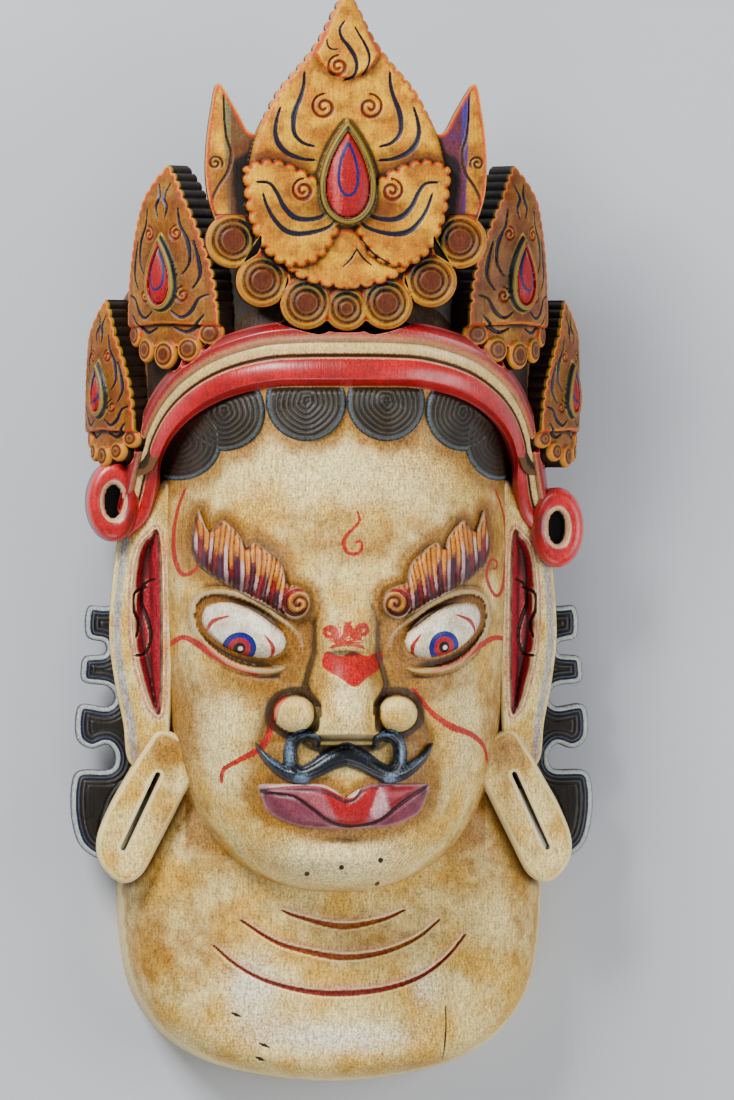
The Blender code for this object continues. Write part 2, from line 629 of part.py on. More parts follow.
def side_leaf_rise(sizes, lobes, u, v):
    flatter_at_tip = np.clip((sizes.tip + 14 - v) / 40, 0.3, 1)
    convex = sizes.bulge * np.clip(1 - (u / sizes.half) ** 2, 0, 1) * flatter_at_tip
    body_foot = sizes.foot + BODY_FOOT * (sizes.tip - sizes.foot)
    body = 5 * dome((v - body_foot + 0.05 * np.abs(u)) / 9)
    knobs = np.max([3 * dome((r - np.hypot(np.abs(u) - cx, v - cy)) / 5) for cx, cy, r in lobes], axis=0)
    rise = convex + np.maximum(body, knobs)
    return gem_rise(rise, u, v, gem_outline(*sizes.gem), sizes.bulge + SIDE_GEM_RISE)


def crown_leaf(name, yaw, middle_x, back_z, outline, rise, thickness):
    place = board_placer(yaw, middle_x, back_z)

    def top(u, v):
        return thickness + rise(u, v) * SCALE[2]

    return slab(name, outline, top, 0.0, CARVING_PITCH, (), place)


def leaf_seat(name, yaw, middle_x, back_z, outline):
    """The pocket that lets a leaf into the head: open to the front, one gap behind its back."""
    place = board_placer(yaw, middle_x, back_z)
    pocket = grown(smoothed(outline) * SCALE[:2], EDGE_GAP) / SCALE[:2]
    return slab(name, pocket, lambda u, v: np.full(np.shape(u), POCKET_DEPTH), -SEAT_GAP, FLAT, (), place)


def smoothed(outline):
    """The outer hull of a scalloped outline, so that no scallop meets the pocket's wall."""
    middle = outline.mean(axis=0)
    reach = np.hypot(*(outline - middle).T)
    wide = np.maximum.reduce([np.roll(reach, k) for k in (-1, 0, 1)])
    return middle + (outline - middle) * (wide / reach)[:, None]


def scroll_board(name, side, grow=0.0):
    """A fretted scroll board; grown by a gap, it is the pocket for its own root."""
    outline = mirrored(rounded(SCROLL, True, 2), side) * SCALE[:2]
    if grow:
        outline = grown(outline, EDGE_GAP)
    low = SCROLL_BACK - grow / SCALE[2]
    high = SCROLL_BACK + (SCROLL_THICKNESS + grow) / SCALE[2]
    return slab(name, outline / SCALE[:2], lambda x, y: np.full(np.shape(x), high), low, FLAT)


def material(name, colour, roughness):
    made = bpy.data.materials.new(name)
    made.use_nodes = True
    shader = made.node_tree.nodes["Principled BSDF"]
    shader.inputs["Base Color"].default_value = (*colour, 1)
    shader.inputs["Roughness"].default_value = roughness
    shader.inputs["Metallic"].default_value = 0
    return made


def thin(obj, triangles):
    """Thins a densely worked surface to about this many triangles, keeping its sharp forms."""
    graph = bpy.context.evaluated_depsgraph_get()
    now = obj.evaluated_get(graph).data if obj.modifiers else obj.data
    now.calc_loop_triangles()
    modifier = obj.modifiers.new("Thin", "DECIMATE")
    modifier.ratio = min(1.0, triangles / len(now.loop_triangles))
    modifier.use_collapse_triangulate = True
    return obj


def collect(name, objects, helper=False):
    collection = bpy.data.collections.new(name)
    bpy.context.scene.collection.children.link(collection)
    collection.hide_render = helper
    for obj in objects:
        collection.objects.link(obj)
        obj.hide_render = helper
        if helper:
            obj.display_type = "WIRE"
    return collection


def combine(obj, operation, collection):
    modifier = obj.modifiers.new(collection.name, "BOOLEAN")
    modifier.operation = operation
    modifier.solver = "EXACT"
    modifier.operand_type = "COLLECTION"
    modifier.collection = collection


def bench():
    """Everything below the rim plane, sawn away so that the mask lies flat."""
    bm = bmesh.new()
    bmesh.ops.create_cube(bm, size=1)
    for vert in bm.verts:
        vert.co = (vert.co.x, vert.co.y * 1.2 * OVERALL_HEIGHT, vert.co.z - 0.5)
    return new_object("bench", bm)


def build():
    for obj in list(bpy.data.objects):
        bpy.data.objects.remove(obj)

    centre_board = (0, 0, CENTRE_LEAF_BACK, centre_outline())
    boards = {"crown_leaf_centre": centre_board}
    centre = crown_leaf("crown_leaf_centre", *centre_board, centre_rise, CENTRE_LEAF_THICKNESS)
    leaves = [thin(centre, CENTRE_LEAF_TRIANGLES)]
    for kind, sizes in (("inner", INNER_LEAF), ("outer", OUTER_LEAF)):
        outline, lobes = side_leaf_shapes(sizes)
        for word, side in (("left", -1), ("right", 1)):
            name = f"crown_leaf_{kind}_{word}"
            boards[name] = (side * sizes.yaw, side * sizes.middle_x, sizes.back_z, outline)

            def rise(u, v, sizes=sizes, lobes=lobes):
                return side_leaf_rise(sizes, lobes, u, v)

            leaf = crown_leaf(name, *boards[name], rise, LEAF_THICKNESS)
            leaves.append(thin(leaf, sizes.triangles))

    scrolls = [scroll_board("side_scroll_left", -1), scroll_board("side_scroll_right", 1)]

    head = thin(head_form("mask_head", *HEAD_GRID, True), HEAD_TRIANGLES)
    added = [crown_block("crown_block"), neck("neck"), thin(headband("headband"), BAND_TRIANGLES)]
    for word, side in (("left", -1), ("right", 1)):
        added.append(thin(band_curl(f"band_curl_{word}", side), CURL_TRIANGLES))
        added.append(thin(ear(f"ear_{word}", side), EAR_TRIANGLES))
        added.append(thin(lobe(f"lobe_{word}", side), LOBE_TRIANGLES))
    removed = [
        thin(head_form("hollow_head", *HOLLOW_GRID, False, WALL), HOLLOW_TRIANGLES),
        crown_block("hollow_crown", WALL),
        neck("hollow_neck", WALL),
        bench(),
    ]
    removed += [leaf_seat(f"{name}_seat", *board) for name, board in boards.items()]
    removed += [scroll_board(f"{obj.name}_seat", side, SEAT_GAP) for obj, side in zip(scrolls, (-1, 1))]

    collect("tibetan_cham_mask", [head, *leaves, *scrolls])
    combine(head, "UNION", collect("added", added, True))
    thin(head, WHOLE_TRIANGLES)
    combine(head, "DIFFERENCE", collect("removed", removed, True))

    head.data.materials.append(material("cream_painted_wood", (0.61, 0.54, 0.39), 0.5))
    gilt = material("ochre_painted_wood", (0.51, 0.26, 0.04), 0.5)
    for leaf in leaves:
        leaf.data.materials.append(gilt)
    for scroll in scrolls:
        scroll.data.materials.append(material("blue_black_painted_wood", (0.03, 0.03, 0.07), 0.5))


build()
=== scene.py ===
"""Tibetan cham mask: its looks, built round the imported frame.

A guardian's face carved from one block of wood, gessoed, painted and worn, lying on its back rim under
five leaf-shaped crown boards, with a fretted scroll board behind each ear. Sizes are in millimetres on
the carver's sheet: x = 0 on the middle line, y = 0 at the neck's lower edge, z = 0 on the back rim.
"""

import logging
import math
from collections.abc import Callable, Sequence
from dataclasses import dataclass
from enum import Enum

import bmesh
import bpy
import numpy as np
from mathutils import Matrix, Vector

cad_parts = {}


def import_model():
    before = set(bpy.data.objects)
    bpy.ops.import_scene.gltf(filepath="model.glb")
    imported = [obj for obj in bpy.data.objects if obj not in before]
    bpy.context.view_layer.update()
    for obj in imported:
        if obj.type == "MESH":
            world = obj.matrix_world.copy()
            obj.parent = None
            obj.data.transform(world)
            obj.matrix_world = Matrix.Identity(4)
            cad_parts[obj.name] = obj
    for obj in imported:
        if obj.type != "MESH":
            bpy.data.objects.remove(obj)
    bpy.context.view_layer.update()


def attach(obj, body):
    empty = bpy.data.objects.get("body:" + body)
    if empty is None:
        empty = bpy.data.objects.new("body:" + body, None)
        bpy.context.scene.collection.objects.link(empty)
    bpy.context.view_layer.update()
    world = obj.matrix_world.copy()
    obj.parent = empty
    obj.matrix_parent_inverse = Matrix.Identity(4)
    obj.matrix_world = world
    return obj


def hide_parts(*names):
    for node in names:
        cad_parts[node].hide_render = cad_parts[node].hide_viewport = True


LOG = logging.getLogger("cham_mask")
Array = np.ndarray
Surface = Callable[[Array, Array], Array]
Point = tuple[float, float]

MM = 0.001
SHEET_MIDDLE = 400.0  # the sheet's y at the middle of the mask's height
WALL = 17.0
BURIED = -25.0  # how far the forms run on below the rim before the back is sawn flat
SHARP_ANGLE = math.radians(55)
SKIRT = 2.5  # how far below a block's top edge the darkening on its walls, dirt and painted shade, is full
FAR = 99.0  # what a painted attribute says where its paint is nowhere near


class Slot(Enum):
    """The record's material slots."""

    HEAD = "painted_head"
    LEAF = "ochre_leaf"
    SCROLL = "dark_scroll"


class Side(Enum):
    """Which half of the mask a piece belongs to, as seen in front of it."""

    LEFT = -1
    RIGHT = 1

    @property
    def word(self) -> str:
        """The side's name as the nodes spell it."""
        return self.name.lower()


class Paint(Enum):
    """How a coat reads its attribute."""

    FILL = "inside a drawn outline"
    STROKE = "along a drawn brush stroke"


# Drawing


def through(pairs: Sequence[Point]) -> Callable[[Array], Array]:
    """A smooth function of one value through drawn pairs.

    Args:
        pairs: (value, result) pairs in rising order of value.

    Returns:
        The function, level outside the pairs.
    """
    at, value = np.array(pairs, float).T
    slope = np.gradient(value, at)

    def smooth(x: Array) -> Array:
        """The cubic between the pairs on both sides of x."""
        x = np.clip(x, at[0], at[-1])
        i = np.clip(np.searchsorted(at, x) - 1, 0, len(at) - 2)
        width = at[i + 1] - at[i]
        t = (x - at[i]) / width
        start = value[i] + t * t * (3 - 2 * t) * (value[i + 1] - value[i])
        return start + width * t * (1 - t) * ((1 - t) * slope[i] - t * slope[i + 1])

    return smooth


def rounded(points: Sequence[Point], closed: bool, steps: int = 6) -> Array:
    """The Catmull-Rom curve through drawn points.

    Args:
        points: The drawn points.
        closed: Whether the last point joins the first.
        steps: Points on the curve for each drawn one.

    Returns:
        The curve's points, one row each.
    """
    points = np.array(points, float)
    count = len(points)
    curve = []
    for i in range(count if closed else count - 1):
        if closed:
            a, b, c, d = (points[(i + k) % count] for k in (-1, 0, 1, 2))
        else:
            a, b, c, d = (points[min(max(i + k, 0), count - 1)] for k in (-1, 0, 1, 2))
        for t in np.arange(steps) / steps:
            bend = 2 * a - 5 * b + 4 * c - d + t * (3 * (b - c) + d - a)
            curve.append(b + t / 2 * (c - a + t * bend))
    return np.array(curve if closed else [*curve, points[-1]])


def both_sides(half: Array) -> Array:
    """A closed outline from its +x half, which starts and ends on the middle line."""
    half = np.array(half, float)
    return np.concatenate([half, half[-2:0:-1] * (-1, 1)])


def mirrored(points: Sequence[Point] | Array, side: Side) -> Array:
    """Points drawn for the right half, taken to the side asked for."""
    return np.array(points, float) * (side.value, 1)


def distance_to(x: Array, y: Array, line: Array, closed: bool = False) -> Array:
    """Distance to a drawn line, in mm.

    Args:
        x: Sheet x of each point.
        y: Sheet y of each point.
        line: The line's points.
        closed: Whether it is an outline.

    Returns:
        The distance; for an outline it is positive inside and negative outside.
    """
    line = np.asarray(line, float)
    ends = np.roll(line, -1, axis=0) if closed else line[1:]
    best = np.full(np.shape(x), np.inf)
    inside = np.zeros(np.shape(x), bool)
    for (ax, ay), (bx, by) in zip(line, ends):
        dx, dy = bx - ax, by - ay
        t = np.clip(((x - ax) * dx + (y - ay) * dy) / max(dx * dx + dy * dy, 1e-12), 0, 1)
        best = np.minimum(best, (x - ax - t * dx) ** 2 + (y - ay - t * dy) ** 2)
        if ay != by:
            inside ^= ((ay > y) != (by > y)) & (x < dx * (y - ay) / dy + ax)
    best = np.sqrt(best)
    return np.where(inside | (not closed), best, -best)


def nearest(x: Array, y: Array, a: Point, b: Point) -> tuple[Array, Array]:
    """Share of the way from a to b at each point's nearest place on that line, and how far it is."""
    dx, dy = b[0] - a[0], b[1] - a[1]
    t = np.clip(((x - a[0]) * dx + (y - a[1]) * dy) / max(dx * dx + dy * dy, 1e-12), 0, 1)
    return t, np.hypot(x - a[0] - t * dx, y - a[1] - t * dy)


def near(x: Array, y: Array, line: Array, closed: bool, reach: float) -> Array:
    """As distance_to, but worked out only within reach of the line; -FAR or FAR elsewhere."""
    low, high = np.min(line, axis=0) - reach, np.max(line, axis=0) + reach
    close = (x > low[0]) & (x < high[0]) & (y > low[1]) & (y < high[1])
    result = np.full(np.shape(x), -FAR if closed else FAR)
    result[close] = distance_to(x[close], y[close], line, closed)
    return result


def hill(x: Array, y: Array, cx: float, cy: float, rx: float, ry: float, turn: float = 0.0) -> Array:
    """A smooth hill of height 1.

    Args:
        x: Sheet x of each point.
        y: Sheet y of each point.
        cx: Its middle across.
        cy: Its middle upwards.
        rx: Its radius along its own first axis.
        ry: Its radius along the second.
        turn: Radians that its axes are turned anticlockwise.

    Returns:
        The height at each point.
    """
    u = ((x - cx) * np.cos(turn) + (y - cy) * np.sin(turn)) / rx
    v = ((y - cy) * np.cos(turn) - (x - cx) * np.sin(turn)) / ry
    return np.exp(-u * u - v * v)


def bump(value: Array, middle: float, width: float | Array) -> Array:
    """A smooth bump of height 1 round one value."""
    return np.exp(-(((value - middle) / width) ** 2))


def outside(depth: Array, reach: float | Array) -> Array:
    """1 inside an outline, and fading over reach outside it."""
    return bump(np.minimum(depth, 0), 0, reach)


def step(t: Array) -> Array:
    """Rises smoothly from 0 at t = 0 to 1 at t = 1."""
    t = np.clip(t, 0, 1)
    return t * t * (3 - 2 * t)


def dome(t: Array, power: float = 2.0) -> Array:
    """Rises from 0 at t = 0 to 1 at t = 1 as a quarter of a round."""
    return (1 - (1 - np.clip(t, 0, 1)) ** power) ** (1 / power)


def superellipse(share: Array, x_power: float, z_power: float) -> Array:
    """Height of a rounded box section at a share of its half-width."""
    return np.clip(1 - np.abs(share) ** x_power, 0, 1) ** (1 / z_power)


def spiral(centre: Point, start: float, end: float, turns: float, heading: float, way: int = 1) -> Array:
    """The line of a scroll.

    Args:
        centre: Its eye.
        start: Radius at its outer end.
        end: Radius at its inner end.
        turns: Full turns between the two.
        heading: Degrees at which its outer end stands.
        way: 1 for anticlockwise inwards, -1 for clockwise.

    Returns:
        The line's points.
    """
    t = np.linspace(0, 1, max(int(turns * 22), 6))
    radius = start + (end - start) * t
    angle = math.radians(heading) + way * t * turns * 2 * math.pi
    return np.stack([centre[0] + radius * np.cos(angle), centre[1] + radius * np.sin(angle)], axis=-1)


def scalloped(line: Array, pitch: float, depth: float) -> Array:
    """A drawn edge cut into a row of small round scallops.

    Args:
        line: The edge, with the board on its right.
        pitch: Width of a scallop.
        depth: How far the notches between them are cut in.

    Returns:
        The cut edge's points.
    """
    along = np.concatenate([[0], np.cumsum(np.hypot(*np.diff(line, axis=0).T))])
    count = max(round(along[-1] / pitch), 2)
    places = np.linspace(0, along[-1], count * 6 + 1)
    points = np.stack([np.interp(places, along, line[:, k]) for k in (0, 1)], axis=-1)
    heading = np.gradient(points, axis=0)
    normal = np.stack([heading[:, 1], -heading[:, 0]], axis=-1) / np.hypot(*heading.T)[:, None]
    phase = np.arange(len(points)) % 6 / 6
    cut = depth * (1 - np.abs(np.sin(phase * np.pi)) ** 0.6)
    cut[[0, -1]] = 0
    return points + normal * cut[:, None]


def grown(outline: Array, gap: float) -> Array:
    """An outline moved outwards along its normals, or inwards for a negative gap."""
    ahead, behind = np.roll(outline, -1, axis=0), np.roll(outline, 1, axis=0)
    along = ahead - behind
    normal = np.stack([along[:, 1], -along[:, 0]], axis=-1) / np.hypot(*along.T)[:, None]
    area = np.sum(outline[:, 0] * ahead[:, 1] - ahead[:, 0] * outline[:, 1])
    moved = outline + np.sign(area) * gap * normal
    if gap < 0:
        moved = moved[distance_to(*moved.T, outline, True) > -0.97 * gap]
    return moved


def oval(centre: Point, radii: Point, count: int) -> Array:
    """Points round an oval."""
    turn = np.arange(count) / count * 2 * np.pi
    return np.stack([centre[0] + radii[0] * np.cos(turn), centre[1] + radii[1] * np.sin(turn)], axis=-1)


def on_sheet(x: Array, y: Array, z: Array) -> Array:
    """Drawn millimetres to metres in the frame."""
    return np.stack(np.broadcast_arrays(x, np.asarray(y) - SHEET_MIDDLE, z), axis=-1) * MM


@dataclass(frozen=True)
class Stroke:
    """One brush stroke: its line and its half-width at the start, middle and end."""

    line: Array
    widths: tuple[float, float, float] = (0.6, 1.2, 0.5)


def brushed(points: Sequence[Point], start: float, middle: float, end: float) -> Stroke:
    """A stroke through drawn points, with its half-widths."""
    return Stroke(rounded(points, False), (start, middle, end))


def trace(x: Array, y: Array, strokes: Sequence[Stroke]) -> tuple[Array, Array]:
    """Where each point lies across the nearest stroke.

    Args:
        x: Sheet x of each point.
        y: Sheet y of each point.
        strokes: The strokes of one colour.

    Returns:
        Signed and plain distance from the stroke's line, both as shares of its half-width.
    """
    across, reach = np.full(len(x), FAR), np.full(len(x), FAR)
    for stroke in strokes:
        line = stroke.line
        low, high = line.min(axis=0) - 8, line.max(axis=0) + 8
        close = np.nonzero((x > low[0]) & (x < high[0]) & (y > low[1]) & (y < high[1]))[0]
        px, py = x[close], y[close]
        lengths = np.hypot(*np.diff(line, axis=0).T)
        ends = np.concatenate([[0], np.cumsum(lengths)]) / lengths.sum()
        for i, (a, b) in enumerate(zip(line, line[1:])):
            t, away = nearest(px, py, a, b)
            away /= np.interp(ends[i] + t * (ends[i + 1] - ends[i]), (0, 0.5, 1), stroke.widths)
            sign = np.where((b[0] - a[0]) * (py - a[1]) - (b[1] - a[1]) * (px - a[0]) < 0, -1, 1)
            nearer = away < reach[close]
            reach[close[nearer]] = away[nearer]
            across[close[nearer]] = (sign * away)[nearer]
    return across, reach


def groove(x: Array, y: Array, strokes: Sequence[Stroke], depth: float) -> Array:
    """How deep strokes are cut at each point."""
    _, reach = trace(x, y, strokes)
    return depth * np.clip(1.3 - reach, 0, 1)


# Mesh work


def panel(outline: Array, pitch: float, holes: Sequence[Array] = ()) -> bmesh.types.BMesh:
    """A flat sheet: a grid cut to an outline, its edge vertices drawn on to the line.

    Args:
        outline: The sheet's outline.
        pitch: Size of the grid's cells.
        holes: Outlines of openings.

    Returns:
        The sheet, its vertices at (x, y, 0).
    """
    low, high = outline.min(axis=0), outline.max(axis=0)
    counts = np.ceil((high - low) / pitch).astype(int) + 2
    bm = bmesh.new()
    bmesh.ops.create_grid(bm, x_segments=int(counts[0]), y_segments=int(counts[1]), size=0.5)
    middle, span = (low + high) / 2, counts * pitch
    for vert in bm.verts:
        vert.co = (middle[0] + vert.co.x * span[0], middle[1] + vert.co.y * span[1], 0)
    centres = np.array([face.calc_center_median()[:2] for face in bm.faces])
    clear = distance_to(*centres.T, outline, True)
    for hole in holes:
        clear = np.minimum(clear, -distance_to(*centres.T, hole, True))
    faces = [face for face, room in zip(bm.faces, clear) if room <= 0]
    bmesh.ops.delete(bm, geom=faces, context="FACES")
    edge = [vert for vert in bm.verts if vert.is_boundary]
    spots = np.array([vert.co[:2] for vert in edge])
    for vert, spot in zip(edge, snapped(spots, [outline, *holes])):
        vert.co = (spot[0], spot[1], 0)
    bmesh.ops.remove_doubles(bm, verts=edge, dist=pitch * 0.04)
    loose = {vert for rim in bm.verts if rim.is_boundary for link in rim.link_edges for vert in link.verts}
    inner = [vert for vert in loose if not vert.is_boundary]
    for _ in range(2):
        bmesh.ops.smooth_vert(bm, verts=inner, factor=0.5, use_axis_x=True, use_axis_y=True)
    return bm


def snapped(spots: Array, loops: Sequence[Array]) -> Array:
    """The point of the nearest outline for each spot.

    Args:
        spots: Points on the sheet.
        loops: Outlines, as rows of points.

    Returns:
        One point of an outline for each spot.
    """
    best = np.full(len(spots), np.inf)
    place = spots.copy()
    for loop in loops:
        for a, b in zip(loop, np.roll(loop, -1, axis=0)):
            run = b - a
            t = np.clip((spots - a) @ run / max(run @ run, 1e-12), 0, 1)
            foot = a + t[:, None] * run
            away = np.hypot(*(spots - foot).T)
            nearer = away < best
            best[nearer], place[nearer] = away[nearer], foot[nearer]
    return place


def close_below(bm: bmesh.types.BMesh, level: float) -> None:
    """Runs an open surface's edge down to a level and closes it there with one face."""
    rim = [edge for edge in bm.edges if edge.is_boundary]
    made = bmesh.ops.extrude_edge_only(bm, edges=rim)["geom"]
    for item in made:
        if isinstance(item, bmesh.types.BMVert):
            item.co.z = level
    bmesh.ops.edgeloop_fill(bm, edges=[edge for edge in bm.edges if edge.is_boundary])


def to_object(name: str, bm: bmesh.types.BMesh) -> bpy.types.Object:
    """A new object in the scene from a bmesh, its faces turned outwards."""
    bmesh.ops.recalc_face_normals(bm, faces=bm.faces)
    mesh = bpy.data.meshes.new(name)
    bm.to_mesh(mesh)
    bm.free()
    obj = bpy.data.objects.new(name, mesh)
    bpy.context.scene.collection.objects.link(obj)
    return obj


def block(
    name: str,
    outline: Array,
    top: Surface,
    bottom: float | Surface,
    pitch: float,
    holes: Sequence[Array] = (),
    place: Callable[[Array, Array, Array], Array] = on_sheet,
) -> bpy.types.Object:
    """A carved block with an outline's walls, a top surface and a bottom.

    Args:
        name: The object's name.
        outline: Its outline on the sheet.
        top: The top surface's height at (x, y).
        bottom: The level of its flat bottom, or a surface that it follows.
        pitch: Size of the cells of its top.
        holes: Outlines of openings right through it.
        place: Takes sheet (x, y, z) to metres in the frame.

    Returns:
        The block. Its mesh keeps sheet_x and sheet_y for each vertex.
    """
    bm = panel(np.asarray(outline, float), pitch, holes)
    if not holes and not callable(bottom):
        made = bmesh.ops.extrude_edge_only(bm, edges=[edge for edge in bm.edges if edge.is_boundary])["geom"]
        ring = {item for item in made if isinstance(item, bmesh.types.BMVert)}
        close_below(bm, -1e3)
        lower = np.array([vert.co.z < 0 for vert in bm.verts])
        skirt = np.array([vert in ring for vert in bm.verts])
    else:
        made = bmesh.ops.extrude_face_region(bm, geom=bm.faces[:])["geom"]
        sunk = {item for item in made if isinstance(item, bmesh.types.BMVert)}
        lower = np.array([vert in sunk for vert in bm.verts])
        skirt = np.zeros(len(lower), bool)
    xy = np.array([vert.co[:2] for vert in bm.verts])
    obj = to_object(name, bm)
    z = top(xy[:, 0], xy[:, 1])
    under = bottom(xy[:, 0], xy[:, 1]) if callable(bottom) else np.full(len(z), bottom)
    down = np.minimum(SKIRT, np.maximum(z - under - 1, 0) / 2)
    z = np.where(lower, under, z - down * skirt)
    obj.data.vertices.foreach_set("co", place(xy[:, 0], xy[:, 1], z).astype(np.float32).ravel())
    store(obj, "sheet_x", xy[:, 0])
    store(obj, "sheet_y", xy[:, 1])
    store(obj, "sunk", lower | skirt)
    outwards(obj)
    return obj


def outwards(obj: bpy.types.Object) -> None:
    """Turns a finished mesh's faces outwards."""
    bm = bmesh.new()
    bm.from_mesh(obj.data)
    bmesh.ops.recalc_face_normals(bm, faces=bm.faces)
    bm.to_mesh(obj.data)
    bm.free()
    obj.data.update()


def store(obj: bpy.types.Object, name: str, values: Array) -> None:
    """Writes one number for each vertex as a named attribute."""
    layer = obj.data.attributes.get(name) or obj.data.attributes.new(name, "FLOAT", "POINT")
    layer.data.foreach_set("value", np.ascontiguousarray(values, dtype=np.float32))


def read(obj: bpy.types.Object, name: str) -> Array:
    """Reads back one of the piece's own attributes."""
    values = np.zeros(len(obj.data.vertices), np.float32)
    obj.data.attributes[name].data.foreach_get("value", values)
    return values.astype(float)


def sheet(obj: bpy.types.Object) -> tuple[Array, Array]:
    """Where each vertex lies on the sheet."""
    return read(obj, "sheet_x"), read(obj, "sheet_y")


def places(obj: bpy.types.Object) -> Array:
    """The mesh's vertices in metres, one row each."""
    flat = np.zeros(len(obj.data.vertices) * 3, np.float32)
    obj.data.vertices.foreach_get("co", flat)
    return flat.reshape(-1, 3).astype(float)


def redrawn(obj: bpy.types.Object) -> tuple[Array, Array, Array]:
    """Stores each vertex's place on the sheet anew after a cut, and gives its x, y and height in mm."""
    at = places(obj) / MM
    x, y = at[:, 0], at[:, 1] + SHEET_MIDDLE
    store(obj, "sheet_x", x)
    store(obj, "sheet_y", y)
    return x, y, at[:, 2]


def cut(obj: bpy.types.Object, tools: Sequence[bpy.types.Object]) -> None:
    """Cuts away each tool from a closed mesh; what the cut bares takes the second material.

    Args:
        obj: The closed mesh.
        tools: The closed forms to take away. They are left for the next piece.
    """
    for tool in tools:
        for mesh in (obj.data, tool.data):
            while len(mesh.materials) < 2:
                mesh.materials.append(None)
        tool.data.polygons.foreach_set("material_index", np.ones(len(tool.data.polygons), np.int32))
        modifier = obj.modifiers.new("Cut", "BOOLEAN")
        modifier.operation = "DIFFERENCE"
        modifier.solver = "MANIFOLD"
        modifier.object = tool
    graph = bpy.context.evaluated_depsgraph_get()
    graph.update()
    result = bpy.data.meshes.new_from_object(obj.evaluated_get(graph))
    obj.modifiers.clear()
    obj.data = result


def relief(obj: bpy.types.Object) -> None:
    """Works out how sunk or proud each vertex is of its surroundings, in mm: for wear, and for soiling and
    painted shade in the hollows.
    """
    mesh = obj.data
    at = places(obj)
    ends = np.zeros(len(mesh.edges) * 2, np.int32)
    mesh.edges.foreach_get("vertices", ends)
    a, b = ends.reshape(-1, 2).T
    count = len(at)
    links = np.maximum(np.bincount(a, minlength=count) + np.bincount(b, minlength=count), 1)
    normal = np.zeros(count * 3, np.float32)
    mesh.vertex_normals.foreach_get("vector", normal)
    normal = normal.reshape(-1, 3)
    soft = at.copy()
    for turn in range(24):
        mean = np.stack(
            [
                np.bincount(a, soft[b, k], minlength=count) + np.bincount(b, soft[a, k], minlength=count)
                for k in range(3)
            ],
            axis=-1,
        )
        soft = 0.4 * soft + 0.6 * mean / links[:, None]
        if turn == 3:
            store(obj, "ridge", -np.sum((soft - at) * normal, axis=1) / MM)
    store(obj, "cavity", np.sum((soft - at) * normal, axis=1) / MM)


# Finishes


def linear(colour: str) -> tuple[float, float, float, float]:
    """An sRGB hex colour as linear red, green, blue and alpha."""
    parts = [int(colour[i : i + 2], 16) / 255 for i in (1, 3, 5)]
    red, green, blue = (p / 12.92 if p <= 0.04045 else ((p + 0.055) / 1.055) ** 2.4 for p in parts)
    return (red, green, blue, 1.0)


def add(tree: bpy.types.NodeTree, kind: str, inputs: dict, output: int | str = 0, **settings) -> object:
    """Adds a node with its settings and links.

    Args:
        tree: The material's node tree.
        kind: The node's type.
        inputs: A value or a socket for each named or numbered input.
        output: The output that the caller wants.
        **settings: Properties of the node itself.

    Returns:
        The output socket.
    """
    node = tree.nodes.new(kind)
    for key, value in settings.items():
        setattr(node, key, value)
    for key, value in inputs.items():
        if isinstance(value, bpy.types.NodeSocket):
            tree.links.new(value, node.inputs[key])
        else:
            node.inputs[key].default_value = value
    return node.outputs[output] if len(node.outputs) else node


@dataclass(frozen=True)
class Coat:
    """One colour laid over the ground where the piece's own attribute says so.

    bounds are the attribute's values, in mm, between which the paint lies; a stroke has none.
    """

    mark: str
    colour: str
    kind: Paint = Paint.FILL
    bounds: Point = (0.0, 1000.0)
    soft: float = 0.35
    wobble: float = 0.5
    strength: float = 1.0
    fresh: bool = False  # laid over the dirt and painted shade, where the real line has stayed unfaded


@dataclass(frozen=True)
class Spot:
    """A round spot of paint at a place on the sheet."""

    centre: Point
    radius: float
    colour: str


